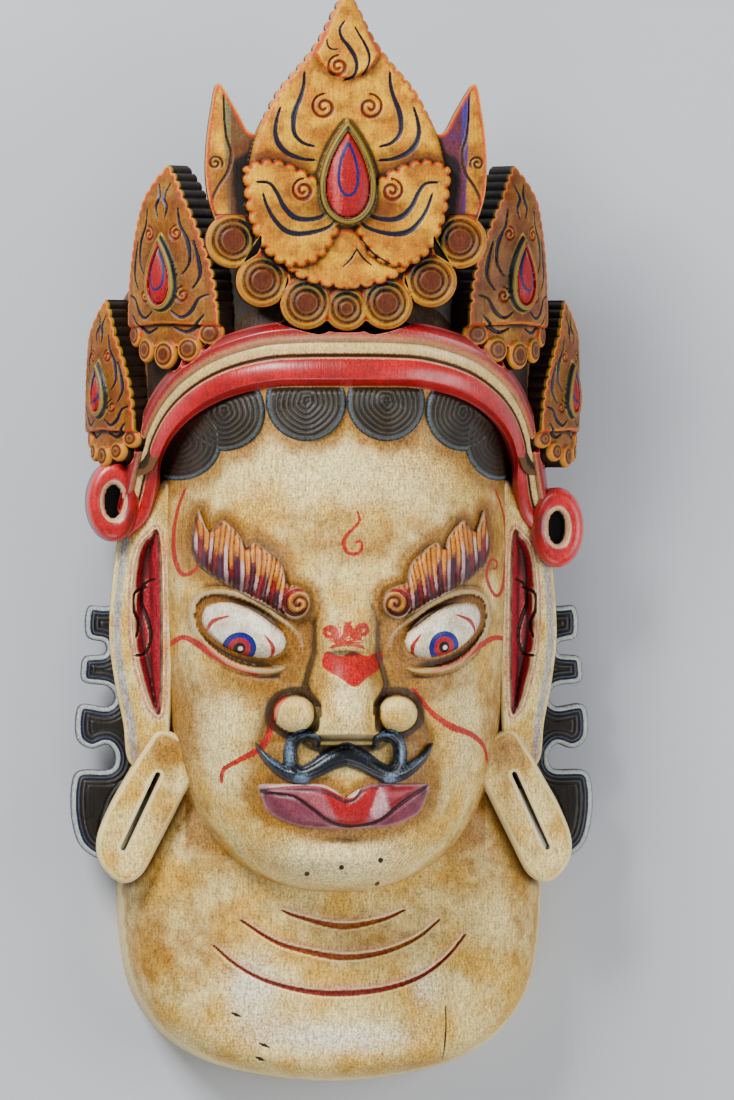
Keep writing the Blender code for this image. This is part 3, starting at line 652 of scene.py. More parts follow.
@dataclass(frozen=True)
class PaintedWood:
    """Paint on gesso on carved wood: clouded, streaked along the grain, dirty and darkened with painted shade
    in the hollows, and rubbed on the edges."""

    name: str
    shades: tuple[str, str]
    grime_and_shade: str
    rubbed: str
    deep: str = "#1E130B"
    coats: tuple[Coat, ...] = ()
    spots: tuple[Spot, ...] = ()
    roughness: Point = (0.42, 0.62)
    lacquer: float = 0.03
    gloss: float = 0.28  # the shader's specular level: old distemper barely shines
    cloud: float = 38.0  # mm between one cloud of colour and the next
    blotch: float = 0.2  # strength of the brown blotches, 8 to 15 mm across
    streak: float = 0.45  # strength of the streaks that follow the grain
    speck: float = 0.5
    mottle: float = 0.34  # how much the fine grain of the paint darkens and lightens it
    dirt: Point = (0.1, 1.1)  # depth of a hollow, in mm, at which the darkening by dirt and painted shade starts and is full
    wear: Point = (0.12, 0.5)  # height of an edge, in mm, at which the paint is rubbed
    wear_strength: float = 0.6

    def dress(self) -> bpy.types.Material:
        """Builds the material.

        Returns:
            The material, ready to assign.
        """
        made = bpy.data.materials.new(self.name)
        made.use_nodes = True
        tree = made.node_tree
        shader = tree.nodes["Principled BSDF"]
        place = add(tree, "ShaderNodeTexCoord", {}, "Object")
        mm = add(tree, "ShaderNodeVectorMath", {0: place, 3: 1000.0}, operation="SCALE")
        grain = add(tree, "ShaderNodeVectorMath", {0: mm, 1: (0.75, 0.035, 0.2)}, operation="MULTIPLY")
        clouds = add(tree, "ShaderNodeTexNoise", {"Vector": mm, "Scale": 1 / self.cloud, "Detail": 4.0})
        patches = add(
            tree, "ShaderNodeTexNoise", {"Vector": mm, "Scale": 0.09, "Detail": 5.0, "Roughness": 0.62}
        )
        streaks = add(tree, "ShaderNodeTexNoise", {"Vector": grain, "Scale": 1.0, "Detail": 3.0})
        grit = add(tree, "ShaderNodeTexNoise", {"Vector": mm, "Scale": 0.62, "Detail": 2.0})
        thread = add(tree, "ShaderNodeVectorMath", {0: mm, 1: (0.8, 0.16, 0.4)}, operation="MULTIPLY")
        fibre = add(
            tree, "ShaderNodeTexNoise", {"Vector": thread, "Scale": 1.0, "Detail": 4.0, "Roughness": 0.7}
        )
        colour = self.mixed(tree, (clouds, 0.36, 0.64), linear(self.shades[0]), linear(self.shades[1]))
        colour = self.mixed(tree, (patches, 0.48, 0.66), colour, linear(self.grime_and_shade), self.blotch)
        colour = self.mixed(tree, (streaks, 0.5, 0.78), colour, linear(self.grime_and_shade), self.streak)
        colour = self.mixed(tree, (grit, 0.58, 0.7), colour, linear(self.grime_and_shade), self.speck)
        for coat in (one for one in self.coats if not one.fresh):
            colour = self.coated(tree, coat, grit, colour)
        for spot in self.spots:
            centre = (spot.centre[0], spot.centre[1] - SHEET_MIDDLE, 0.0)
            level = add(tree, "ShaderNodeVectorMath", {0: mm, 1: (1.0, 1.0, 0.0)}, operation="MULTIPLY")
            away = add(tree, "ShaderNodeVectorMath", {0: level, 1: centre}, "Value", operation="DISTANCE")
            disc = (away, spot.radius + 0.3, spot.radius - 0.3)
            colour = self.mixed(tree, disc, colour, linear(spot.colour))
        # The stored darkening mixes in the dirt colour, then near black: real dirt and stains, and painted
        # shade in creases, under raised parts and on walls.
        stain_and_shade = add(tree, "ShaderNodeAttribute", {}, "Fac", attribute_name="grime_and_shade")
        stain_and_shade = add(tree, "ShaderNodeMath", {0: patches, 1: 0.9, 2: stain_and_shade}, operation="MULTIPLY_ADD")
        stain_and_shade = add(tree, "ShaderNodeMath", {0: fibre, 1: 0.5, 2: stain_and_shade}, operation="MULTIPLY_ADD")
        colour = self.mixed(tree, (stain_and_shade, 0.8, 1.55), colour, linear(self.grime_and_shade), 0.85)
        colour = self.mixed(tree, (stain_and_shade, 1.7, 2.5), colour, linear(self.deep), 0.95)
        for coat in (one for one in self.coats if one.fresh):
            colour = self.coated(tree, coat, grit, colour)
        low, high = 1 - self.mottle, 1 + self.mottle * 0.6
        grain_light = add(tree, "ShaderNodeMapRange", {0: fibre, 1: 0.32, 2: 0.68, 3: low, 4: high})
        grit_light = add(tree, "ShaderNodeMapRange", {0: grit, 1: 0.3, 2: 0.7, 3: low, 4: high})
        light = add(tree, "ShaderNodeMath", {0: grain_light, 1: grit_light}, operation="MULTIPLY")
        colour = add(tree, "ShaderNodeVectorMath", {0: colour, 3: light}, operation="SCALE")
        # Hollows go towards near black: dirt in the cuts, and painted shade.
        sunk = add(tree, "ShaderNodeAttribute", {}, "Fac", attribute_name="cavity")
        start, full = self.dirt
        sunk = add(tree, "ShaderNodeMath", {0: patches, 1: full * 0.5, 2: sunk}, operation="MULTIPLY_ADD")
        colour = self.mixed(tree, (sunk, start + full * 0.25, full * 1.25), colour, linear(self.deep), 0.85)
        proud = add(tree, "ShaderNodeAttribute", {}, "Fac", attribute_name="ridge")
        start, full = self.wear
        proud = add(tree, "ShaderNodeMath", {0: patches, 1: full * 0.6, 2: proud}, operation="MULTIPLY_ADD")
        worn = (proud, start + full * 0.3, full * 1.3)
        colour = self.mixed(tree, worn, colour, linear(self.rubbed), self.wear_strength)
        tree.links.new(colour, shader.inputs["Base Color"])
        silk, matt = self.roughness
        dull = add(tree, "ShaderNodeMapRange", {0: patches, 1: 0.3, 2: 0.7, 3: silk, 4: matt})
        tree.links.new(dull, shader.inputs["Roughness"])
        height = add(tree, "ShaderNodeMath", {0: grit, 1: 0.35, 2: streaks}, operation="MULTIPLY_ADD")
        bump = add(tree, "ShaderNodeBump", {"Height": height, "Strength": 0.35, "Distance": 0.0007})
        tree.links.new(bump, shader.inputs["Normal"])
        shader.inputs["Specular IOR Level"].default_value = self.gloss
        shader.inputs["Coat Weight"].default_value = self.lacquer
        shader.inputs["Coat Roughness"].default_value = 0.28
        return made

    @staticmethod
    def mixed(
        tree: bpy.types.NodeTree, mask: tuple, under: object, over: object, strength: object = 1.0
    ) -> object:
        """Lays one colour over another where a value lies above a bound.

        Args:
            tree: The material's node tree.
            mask: The value's socket, where the colour starts and where it is full.
            under: Colour below.
            over: Colour above.
            strength: How much of it covers at most.

        Returns:
            The mixed colour's socket.
        """
        value, low, high = mask
        share = add(
            tree,
            "ShaderNodeMapRange",
            {0: value, 1: low, 2: high, 3: 0.0, 4: strength},
            interpolation_type="SMOOTHSTEP",
        )
        return add(tree, "ShaderNodeMix", {0: share, 6: under, 7: over}, 2, data_type="RGBA")

    def coated(self, tree: bpy.types.NodeTree, coat: Coat, wander: object, under: object) -> object:
        """Lays one coat.

        Args:
            tree: The material's node tree.
            coat: The coat.
            wander: Noise by which the painter's hand wanders.
            under: Colour below.

        Returns:
            The colour's socket.
        """
        mark = add(tree, "ShaderNodeAttribute", {}, "Fac", attribute_name=coat.mark)
        if coat.kind is Paint.STROKE:
            mark = add(tree, "ShaderNodeMath", {0: mark}, operation="ABSOLUTE")
            mark = add(tree, "ShaderNodeMath", {0: wander, 1: coat.wobble, 2: mark}, operation="MULTIPLY_ADD")
            reach = add(tree, "ShaderNodeAttribute", {}, "Fac", attribute_name=f"{coat.mark}_reach")
            stop = add(tree, "ShaderNodeMapRange", {0: reach, 1: 2.6, 2: 1.9, 3: 0.0, 4: coat.strength})
            high = 1 + coat.wobble / 2
            line = (mark, high + coat.soft, high - coat.soft)
            return self.mixed(tree, line, under, linear(coat.colour), stop)
        mark = add(tree, "ShaderNodeMath", {0: wander, 1: coat.wobble, 2: mark}, operation="MULTIPLY_ADD")
        low, high = coat.bounds[0] + coat.wobble / 2, coat.bounds[1] + coat.wobble / 2
        rise = add(
            tree,
            "ShaderNodeMapRange",
            {0: mark, 1: low - coat.soft, 2: low + coat.soft, 3: 0.0, 4: coat.strength},
            interpolation_type="SMOOTHSTEP",
        )
        return self.mixed(tree, (mark, high + coat.soft, high - coat.soft), under, linear(coat.colour), rise)


@dataclass(frozen=True)
class BareWood:
    """Old softwood inside the shell: dark from handling, with the grain and gouge marks showing."""

    name: str = "bare_old_pine"
    light: str = "#8A6238"
    dark: str = "#4B301A"

    def dress(self) -> bpy.types.Material:
        """Builds the material."""
        made = bpy.data.materials.new(self.name)
        made.use_nodes = True
        tree = made.node_tree
        shader = tree.nodes["Principled BSDF"]
        place = add(tree, "ShaderNodeTexCoord", {}, "Object")
        mm = add(tree, "ShaderNodeVectorMath", {0: place, 3: 1000.0}, operation="SCALE")
        grain = add(tree, "ShaderNodeVectorMath", {0: mm, 1: (0.3, 0.012, 0.3)}, operation="MULTIPLY")
        rings = add(tree, "ShaderNodeTexNoise", {"Vector": grain, "Scale": 1.0, "Detail": 6.0})
        gouges = add(
            tree, "ShaderNodeTexVoronoi", {"Vector": mm, "Scale": 0.07, "Smoothness": 0.6}, feature="SMOOTH_F1"
        )
        share = add(tree, "ShaderNodeMapRange", {0: rings, 1: 0.35, 2: 0.65})
        colour = add(
            tree, "ShaderNodeMix", {0: share, 6: linear(self.dark), 7: linear(self.light)}, 2, data_type="RGBA"
        )
        tree.links.new(colour, shader.inputs["Base Color"])
        bump = add(tree, "ShaderNodeBump", {"Height": gouges, "Strength": 0.5, "Distance": 0.002})
        tree.links.new(bump, shader.inputs["Normal"])
        shader.inputs["Roughness"].default_value = 0.8
        return made


# Each paint's two clouded shades, its colour for dirt and painted shade, its worn colour, and what fills its
# deepest cuts and darkest painted shade
CREAM = {
    "shades": ("#E4B44A", "#FFE492"),
    "grime_and_shade": "#96600F",
    "rubbed": "#FBE8A6",
    "deep": "#1E0E04",
    "blotch": 0.16,
    "mottle": 0.5,
}
GOLD = {
    "shades": ("#C47800", "#F0B004"),
    "grime_and_shade": "#5E2402",
    "rubbed": "#F8CE30",
    "deep": "#0A0502",
    "blotch": 0.4,
}
RED = {
    "shades": ("#B00A10", "#CC161E"),
    "grime_and_shade": "#4E0608",
    "rubbed": "#E06466",
    "deep": "#1C0404",
}


def present(
    obj: bpy.types.Object,
    node: str,
    finish: PaintedWood,
    inside: bpy.types.Material | None = None,
) -> None:
    """Finishes a piece: wear, shading and material; then hangs it on the root body and hides the CAD node that
    it stands for.

    Args:
        obj: The piece.
        node: The CAD node that it stands for.
        finish: Its paint.
        inside: What a cut bared, if anything.
    """
    relief(obj)
    if obj.data.attributes.get("sunk"):
        # A block's walls darken: dirt and painted shade where the piece stands on the one below it.
        store(obj, "grime_and_shade", read(obj, "grime_and_shade") + 1.4 * read(obj, "sunk"))
        store(obj, "ridge", read(obj, "ridge") * (1 - read(obj, "sunk")))
    obj.data.materials.clear()
    obj.data.materials.append(finish.dress())
    if inside is not None:
        obj.data.materials.append(inside)
    obj.data.shade_smooth()
    obj.data.set_sharp_from_angle(angle=SHARP_ANGLE)
    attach(obj, "root")
    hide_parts(node)
    LOG.info("%s: %d faces", obj.name, len(obj.data.polygons))


def mark(obj: bpy.types.Object, name: str, strokes: Sequence[Stroke]) -> None:
    """Paints strokes on a piece: stores where its vertices lie across them."""
    across, reach = trace(*sheet(obj), strokes)
    store(obj, name, across)
    store(obj, f"{name}_reach", reach)


# The head


EYE_RIM = (
    (105, 354), (97, 360.5), (82, 360), (64, 352.5), (50, 342.5), (39, 334), (34, 325), (40, 313.5),
    (55, 308), (77, 311), (95, 323), (105.5, 339),
)  # fmt: skip
BROW = (
    (106, 384), (109, 402), (104, 423), (97, 408), (87, 415), (76, 404), (72, 395), (66, 399),
    (54, 391), (46, 382), (43, 370), (38, 368), (29, 364), (26, 355), (30, 346), (40, 343), (57, 352),
    (74, 361), (91, 371),
)  # fmt: skip
MOUSTACHE_BODY = (
    (0, 245.5, 9.0), (11, 241.5, 8.0), (23, 234.5, 6.6), (32, 231.5, 6.2), (38.5, 236.5, 5.4), (40, 247, 5.2),
    (37, 256, 5.0), (29.5, 259.5, 4.4), (22.5, 256, 3.6), (21, 251, 2.4),
)  # x, y and half-width  # fmt: skip
MOUSTACHE_TAIL = ((31, 230, 6.4), (42, 232, 5.4), (52, 238, 4.2), (59, 245, 2.8), (64, 253, 0.8))
LIPS = (
    (0, 214), (10, 221), (22, 224.5), (48, 224), (62, 223), (60, 214), (55, 203), (40, 195),
    (24, 192), (0, 191),
)  # fmt: skip
HAIR_CURLS = ((29, 501), (87, 494), (117, 473))


@dataclass
class Head:
    """The carved head: its round form and the carving that stands out from it."""

    rows: tuple[int, int] = (143, 606)
    x_power: float = 2.6
    z_power: float = 2.2
    hair_radius: float = 29.0
    half_width: tuple[Point, ...] = (
        (143, 24), (147, 44), (152, 58), (160, 73), (172, 89), (188, 103), (206, 113), (228, 122),
        (260, 129), (300, 132), (480, 132), (520, 130), (560, 122), (606, 104),
    )  # fmt: skip
    depth: tuple[Point, ...] = (
        (143, 104), (146, 134), (150, 154), (156, 170), (164, 180), (178, 186), (205, 188), (250, 190),
        (300, 196), (340, 199), (380, 203), (430, 205), (480, 204), (520, 199), (560, 192), (606, 168),
    )  # fmt: skip

    def nose(self, side: Array, y: Array) -> Array:
        """Height of the nose over the cheeks.

        Args:
            side: Distance from the middle line.
            y: Height on the sheet.

        Returns:
            Millimetres over the face's ground.
        """
        half = through(((250, 22), (272, 23), (300, 19), (320, 14), (340, 14), (370, 18), (396, 24)))(y)
        ridge = through(
            (
                (246, -2), (250, 0), (254, 18), (258, 33), (264, 38), (272, 39), (285, 35), (300, 27),
                (314, 18), (319, 13), (324, 15), (336, 12), (352, 6), (372, 2), (396, 0),
            )
        )(y) * np.clip(1 - (side / (half + 9)) ** 2.4, 0, 1) ** 1.2  # fmt: skip
        reach = np.hypot((side - 37) / 16, (y - 275) / 14)
        wing = 29 * np.sqrt(np.clip(1 - reach**4, 0, 1))
        fold = -5 * bump(reach, 1.18, 2 / 7) * (side > half - 4) * (y > 261)
        return np.maximum(ridge, wing) + fold

    def lid(self, side: Array, y: Array) -> Array:
        """Height of the eye's raised rim and the sunk line inside it."""
        rim = distance_to(side, y, rounded(EYE_RIM, True), True)
        raised = 4.5 * bump(rim, -2, 3.4) - 1.6 * bump(rim, -6.2, 1.6)
        return np.where(rim > 0, -5 * step(rim / 2.2), raised)

    def rise(self, x: Array, y: Array) -> Array:
        """How far the cheeks, lids and nose stand out from the head's plain form, in mm."""
        side = np.abs(x)
        rise = 7 * hill(side, y, 0, 222, 50, 32) + 7 * hill(side, y, 0, 168, 32, 18)
        rise += 7 * hill(side, y, 76, 262, 30, 36) + 8 * hill(side, y, 62, 376, 46, 17, 0.42)
        rise += 5 * hill(side, y, 76, 304, 34, 13, 0.3) - 7 * hill(side, y, 46, 322, 20, 22)
        rise -= 5 * hill(side, y, 59, 262, 8, 26, 0.35) + 4 * hill(side, y, 0, 183, 26, 6)
        rise += self.lid(side, y)
        return np.maximum(rise, self.nose(side, y))

    def ground(self, x: Array, y: Array) -> Array:
        """The carved surface's height at (x, y), without the pieces laid over it."""
        half = through(self.half_width)(y)
        plain = through(self.depth)(y) * superellipse(x / half, self.x_power, self.z_power)
        return plain + self.rise(x, y) * (1 - np.clip(np.abs(x / half), 0, 1) ** 8)

    def skin(self, x: Array, y: Array) -> Array:
        """The underside of a piece laid on the head, which reaches well into it."""
        return self.ground(x, y) - 4

    def form(self, name: str, rows: int, columns: int, inset: float = 0.0) -> bpy.types.Object:
        """The head's form as a closed block.

        Args:
            name: The object's name.
            rows: Cells up its height.
            columns: Cells round it.
            inset: How far its plain walls are moved in, for the hollow; the carved front has none.

        Returns:
            The block.
        """
        bm = bmesh.new()
        bmesh.ops.create_grid(bm, x_segments=columns, y_segments=rows, size=0.5)
        grid = np.array([vert.co[:2] for vert in bm.verts]) + 0.5
        angle = np.linspace(0, np.pi, 4000)
        x = -np.sign(np.cos(angle)) * np.abs(np.cos(angle)) ** (2 / self.x_power)
        z = np.sin(angle) ** (2 / self.z_power)
        walk = np.hypot(np.diff(x) * 132, np.diff(z) * 200)
        walk *= np.where(z[1:] > 0.72, 1.0, 0.42)
        along = np.concatenate([[0], np.cumsum(walk)])
        even = grid[:, 0] * along[-1]
        low, high = self.rows
        t = grid[:, 1]
        y = low + (high - low) * np.interp(t, (0, 0.06, 0.94, 1), (0, 0.03, 0.82, 1))
        half = through(self.half_width)(y)
        deep = through(self.depth)(y)
        sheet_x = np.interp(even, along, x) * half
        sheet_z = np.interp(even, along, z) * deep
        if not inset:
            sheet_z = sheet_z + self.rise(sheet_x, y) * (1 - np.abs(sheet_x / half) ** 8)
        else:
            sheet_x = sheet_x * np.maximum(half - inset, 0.2 * half) / half
            sheet_z = sheet_z * np.maximum(deep - inset, 0.2 * deep) / deep
            y = np.clip(y, low + inset, high - inset)
        for vert, point in zip(bm.verts, on_sheet(sheet_x, y, sheet_z)):
            vert.co = point
        close_below(bm, BURIED * MM)
        return to_object(name, bm)


@dataclass
class Face:
    """The painted face: the head's front and sides, cut hollow, with its painted lines."""

    head: Head
    red_lines: tuple[tuple[Point, ...], ...] = (
        ((-113, 437.4), (-117.3, 424.2), (-120.2, 406.6), (-119.6, 387.5), (-114.8, 375.8), (-107.2, 378),
         (-103.4, 385.9), (-101.5, 394.9), (-104.1, 403.7), (-108.4, 400.7), (-107.3, 394.9)),
        ((114.3, 437.4), (118.9, 427.8), (122.9, 416.8), (124.6, 402.2), (123.9, 379.5), (120.2, 363.4),
         (114.3, 360.2), (108.3, 368.5), (106.6, 377.3), (110, 386.1), (115.2, 385.1), (115.2, 380.2),
         (112.2, 379.8)),
        ((8, 420.9), (9.3, 414.5), (4.9, 408.9), (-0.6, 403.4), (-1.9, 397.1), (0.9, 391.5), (7.3, 390.7),
         (11, 394.7), (10.4, 399.4), (6.8, 399.4)),
    )  # fmt: skip
    broad_lines: tuple[tuple[Point, ...], ...] = (
        ((-126, 318), (-121.8, 324.5), (-113.4, 329.7), (-101.9, 323.1), (-85.1, 311.4), (-64.3, 303.2)),
        ((128, 322), (122.1, 328.2), (112.6, 328.9), (100.1, 323.1), (85.6, 314.5), (62.4, 304.9)),
        ((-44, 287), (-49.8, 280.5), (-53.3, 265.9), (-60.2, 250.5), (-75.5, 241), (-86.3, 233.7),
         (-87.4, 224.9)),
        ((50, 292), (55, 285.2), (64.2, 274.7), (78.2, 265.2), (94.2, 259.3), (105.4, 250.5), (109.4, 239.6)),
    )  # fmt: skip
    heart: tuple[Point, ...] = (
        (-14.8, 320.1), (-4.5, 316.9), (4.3, 320.1), (14.6, 316.9), (26.3, 320.1), (24.7, 308.2),
        (13.2, 300.6), (4.4, 294.5), (-5.9, 301.1), (-17.6, 309.2),
    )  # fmt: skip
    knots: tuple[Point, ...] = ((-26.5, 158.2), (-2.5, 163.4), (26.4, 150.2), (26.1, 168.5))
    shadow: tuple[Point, ...] = ((30, 350), (28, 336), (31, 320), (44, 306), (62, 303))

    def finish(self) -> PaintedWood:
        """Cream distemper over gesso, crazed and smoked brown in the hollows, with painted shade round the
        features and painted highlights on the raised forms.
        """
        return PaintedWood(
            name="cream_face_paint",
            wear_strength=0.25,
            spots=tuple(Spot(knot, 1.9, "#2C2216") for knot in self.knots),
            coats=(
                # Painted highlight: paler cream on the chin, nose, cheeks and forehead.
                Coat("painted_highlight", "#FFECB0", bounds=(2.6, 90.0), soft=2.0, wobble=4.0, strength=0.6),
                Coat("heart", "#B8160E", soft=0.6, fresh=True),
                Coat("broad", "#BC180E", Paint.STROKE, soft=0.2, wobble=0.35, strength=0.97, fresh=True),
                Coat("fine", "#B41C12", Paint.STROKE, soft=0.25, wobble=0.35, strength=0.96, fresh=True),
                # Painted shade: near black along the brows' upper edge, round the nose wings and under the
                # nose.
                Coat("shade", "#1A0E08", bounds=(0.0, 90.0), soft=1.1, wobble=1.5, strength=0.92),
                # Painted shade: violet-brown between the inner eye corners and the nose bridge.
                Coat("violet_painted_shade", "#4A3238", bounds=(0.0, 90.0), soft=3.0, wobble=3.0, strength=0.6),
                Coat("temple", "#14100C", soft=1.0, wobble=1.5),
                Coat("lid", "#EADFBC", bounds=(-3.7, -0.5), soft=0.5, wobble=0.6, strength=0.9),
                Coat("eye", "#2B1A10", bounds=(-0.3, 6.0), soft=0.3),
            ),
            **CREAM,
        )

    def build(self, wood: bpy.types.Material, cutters: Sequence[bpy.types.Object]) -> None:
        """Carves, hollows and paints the face.

        Args:
            wood: The bare wood inside.
            cutters: The hollows, pockets and saw cut.
        """
        obj = self.head.form("face", 300, 272)
        cut(obj, cutters)
        x, y, z = redrawn(obj)
        front = z > 40
        side = np.abs(x)
        lines = [brushed(line, 0.8, 1.6, 0.9) for line in self.red_lines]
        lines += [
            Stroke(spiral((-12.2, 333.5), 5.5, 1.4, 1.4, -60, 1), (1.2, 1.7, 1.0)),
            Stroke(spiral((11.5, 335.1), 5.5, 1.4, 1.4, -120, -1), (1.2, 1.7, 1.0)),
            brushed(((-9, 328), (-2, 331), (0.5, 339), (4, 331), (9, 329)), 1.4, 2.6, 1.4),
            brushed(((-11, 323.5), (0, 326), (11, 323.5)), 1.2, 2.2, 1.2),
        ]
        mark(obj, "fine", lines)
        mark(obj, "broad", [brushed(line, 1.3, 2.6, 1.2) for line in self.broad_lines])
        heart = near(x, y, rounded(self.heart, True), True, 8)
        store(obj, "heart", np.where(front, heart, -FAR))
        eye = near(side, y, rounded(EYE_RIM, True), True, 14)
        store(obj, "eye", np.where(front, eye, -FAR))
        inner_corner = (side < 62) & (y < 322)
        store(obj, "lid", np.where(front & ~inner_corner, eye, -FAR))
        brow = near(side, y, rounded(BROW, True), True, 24)
        lips = near(side, y, both_sides(rounded(LIPS, False)), True, 30)
        wing = np.hypot((side - 37) / 16, (y - 274) / 14)
        outer_wing = (side > 27) | (y > 279)
        # Painted shade above the brows, in the groove round each nose wing and under the nose.
        shade = np.where(y > 352 + 0.55 * (side - 40), 3.4 + brow, -FAR)
        shade = np.maximum(shade, np.where(outer_wing & (y > 259), 2.2 - np.abs(wing - 1.1) * 15, -FAR))
        under_nose = np.where((side < 56) & (y < 264), 2.8 - np.abs(y - 258 + 0.03 * side), -FAR)
        shade = np.maximum(shade, under_nose)
        store(obj, "shade", np.where(front, shade, -FAR))
        # Painted shade beside the nose bridge, along the shadow line.
        store(obj, "violet_painted_shade", np.where(front, 6 - distance_to(side, y, rounded(self.shadow, False)), -FAR))
        store(obj, "temple", np.where((y > 388) & (y < 512), side - 126.5, -FAR))
        # Painted highlight where the chin, nose, cheeks and forehead stand out towards the light.
        painted_highlight = hill(x, y, 0, 168, 62, 24) + hill(x, y, 0, 286, 14, 24)
        painted_highlight += 0.7 * hill(side, y, 92, 262, 22, 40)
        store(obj, "painted_highlight", np.where(front, 5 * (painted_highlight + 0.7 * hill(x, y, 0, 448, 90, 34)), -FAR))
        hair = np.max([self.head.hair_radius - np.hypot(side - cx, y - cy) for cx, cy in HAIR_CURLS], axis=0)
        # Darker round the brows, eyes, hair curls, lips, nose wings and mouth corners, under the eyes, towards
        # the back and near black above the band: dirt, and painted shade where the forms overhang.
        grime_and_shade = 0.9 * outside(brow + 1, 7) + 0.6 * outside(eye, 7)
        grime_and_shade += 0.8 * outside(hair, 11) + 0.9 * outside(lips, 7)
        grime_and_shade += 0.7 * hill(side, y, 50, 240, 18, 20) + 0.6 * hill(side, y, 56, 262, 10, 22)
        grime_and_shade -= 0.8 * (wing < 0.9)
        grime_and_shade += 0.75 * hill(side, y, 56, 298, 42, 16) + 0.6 * step((150 - z) / 80)
        grime_and_shade += 0.5 * hill(side, y, 22, 330, 12, 26) + 0.45 * hill(x, y, 0, 400, 90, 26)
        grime_and_shade += 0.5 * hill(side, y, 64, 214, 12, 22) + 0.4 * hill(x, y, 0, 183, 34, 6)
        grime_and_shade += 0.5 * hill(x, y, -112, 268, 16, 40) + 0.3 * hill(x, y, 112, 262, 12, 30)
        store(obj, "grime_and_shade", np.clip(0.1 + grime_and_shade, 0, 1.2) + 2 * (y > 545))
        present(obj, "mask_head", self.finish(), wood)


def sawn_back() -> bpy.types.Object:
    """Everything below the rim plane, which the saw takes off."""
    bm = bmesh.new()
    bmesh.ops.create_cube(bm, size=1.2)
    bmesh.ops.translate(bm, verts=bm.verts, vec=(0, 0, -0.6))
    return to_object("sawn_back", bm)


@dataclass
class Eyes:
    """The two painted eyeballs."""

    head: Head
    radii: Point = (31.0, 17.0)
    centre: Point = (72.5, 335.5)
    slant: float = 0.42
    irises: tuple[Point, ...] = ((-76.5, 322.3), (71.8, 323.1))

    def ball(self, x: Array, y: Array) -> Array:
        """The eyeball's surface."""
        side = np.abs(x)
        u, v = side - self.centre[0], y - self.centre[1]
        along = u * np.cos(self.slant) + v * np.sin(self.slant)
        up = v * np.cos(self.slant) - u * np.sin(self.slant)
        rim = distance_to(side, y, rounded(EYE_RIM, True), True)
        reach = (along / self.radii[0]) ** 2 + (up / self.radii[1]) ** 2
        ball = 17 * np.sqrt(np.clip(1 - reach, 0, 1)) - 4.7
        return self.head.ground(x, y) + np.where(reach < 1, ball + 5 * step(rim / 2.2), -1.5)

    def build(self) -> None:
        """Carves and paints both eyes."""
        arcs = {
            Side.LEFT: (
                ((-99.5, 331), (-97.9, 336.5), (-94.3, 342.1), (-84.5, 345.5)),
                ((-58.5, 331), (-53.6, 324.3), (-53.2, 318), (-56.8, 312.8)),
            ),
            Side.RIGHT: (
                ((97, 331), (95.8, 336.3), (91.5, 342.3), (81.7, 346.3)),
                ((53.9, 332), (48.9, 325.1), (48.5, 319), (52.5, 313.6)),
            ),
        }
        for side, iris in zip(Side, self.irises):
            outline = grown(mirrored(rounded(EYE_RIM, True), side), -0.8)
            surface = self.ball

            def below(x: Array, y: Array) -> Array:
                """A skin 5 mm thick under the ball."""
                return surface(x, y) - 5

            obj = block(f"eyeball_{side.word}", outline, surface, below, 0.8)
            mark(obj, "arc", [brushed(arc, 0.5, 1.6, 0.6) for arc in arcs[side]])
            x, y = sheet(obj)
            rim = distance_to(x, y, mirrored(rounded(EYE_RIM, True), side), True)
            store(obj, "rim", rim)
            outer_top = (np.abs(x) > 76) & (y > 338)
            store(obj, "crimson", np.where(outer_top, 1.2 - np.abs(rim - 3.0), -FAR))
            # Painted shade on the white next to the lids.
            store(obj, "grime_and_shade", 0.5 * outside(3 - rim, 4))
            # Egg-smooth white, a little shinier than the face, yellowed at the lids, with painted shade beside
            # them and a painted glint on each pupil
            finish = PaintedWood(
                name=f"eye_white_{side.word}",
                shades=("#E6D6B0", "#FBF2DC"),
                grime_and_shade="#6A4A2A",
                rubbed="#F0ECE2",
                deep="#24160E",
                coats=(
                    Coat("arc", "#B02A20", Paint.STROKE, soft=0.2, wobble=0.2),
                    Coat("rim", "#C58A5A", bounds=(4.0, 6.2), soft=1.0, wobble=1.0, strength=0.55),
                    Coat("rim", "#2B1A10", bounds=(-9.0, 4.4), soft=0.45, wobble=0.8),
                    Coat("crimson", "#6A1A18", bounds=(0.0, 9.0), soft=0.6, strength=0.8),
                ),
                spots=(
                    Spot(iris, 11.6, "#0E0F3C"),
                    Spot(iris, 10.9, "#1A1F8A"),
                    Spot(iris, 7.7, "#B5242C"),
                    Spot(iris, 4.0, "#120C0C"),
                    # A painted glint on the pupil.
                    Spot((iris[0] + 0.7, iris[1] - 0.3), 1.7, "#F2F2EE"),
                ),
                roughness=(0.3, 0.45),
                streak=0.15,
                speck=0.25,
                cloud=12,
                dirt=(0.4, 2.4),
                wear_strength=0.2,
            )
            present(obj, "mask_head", finish)


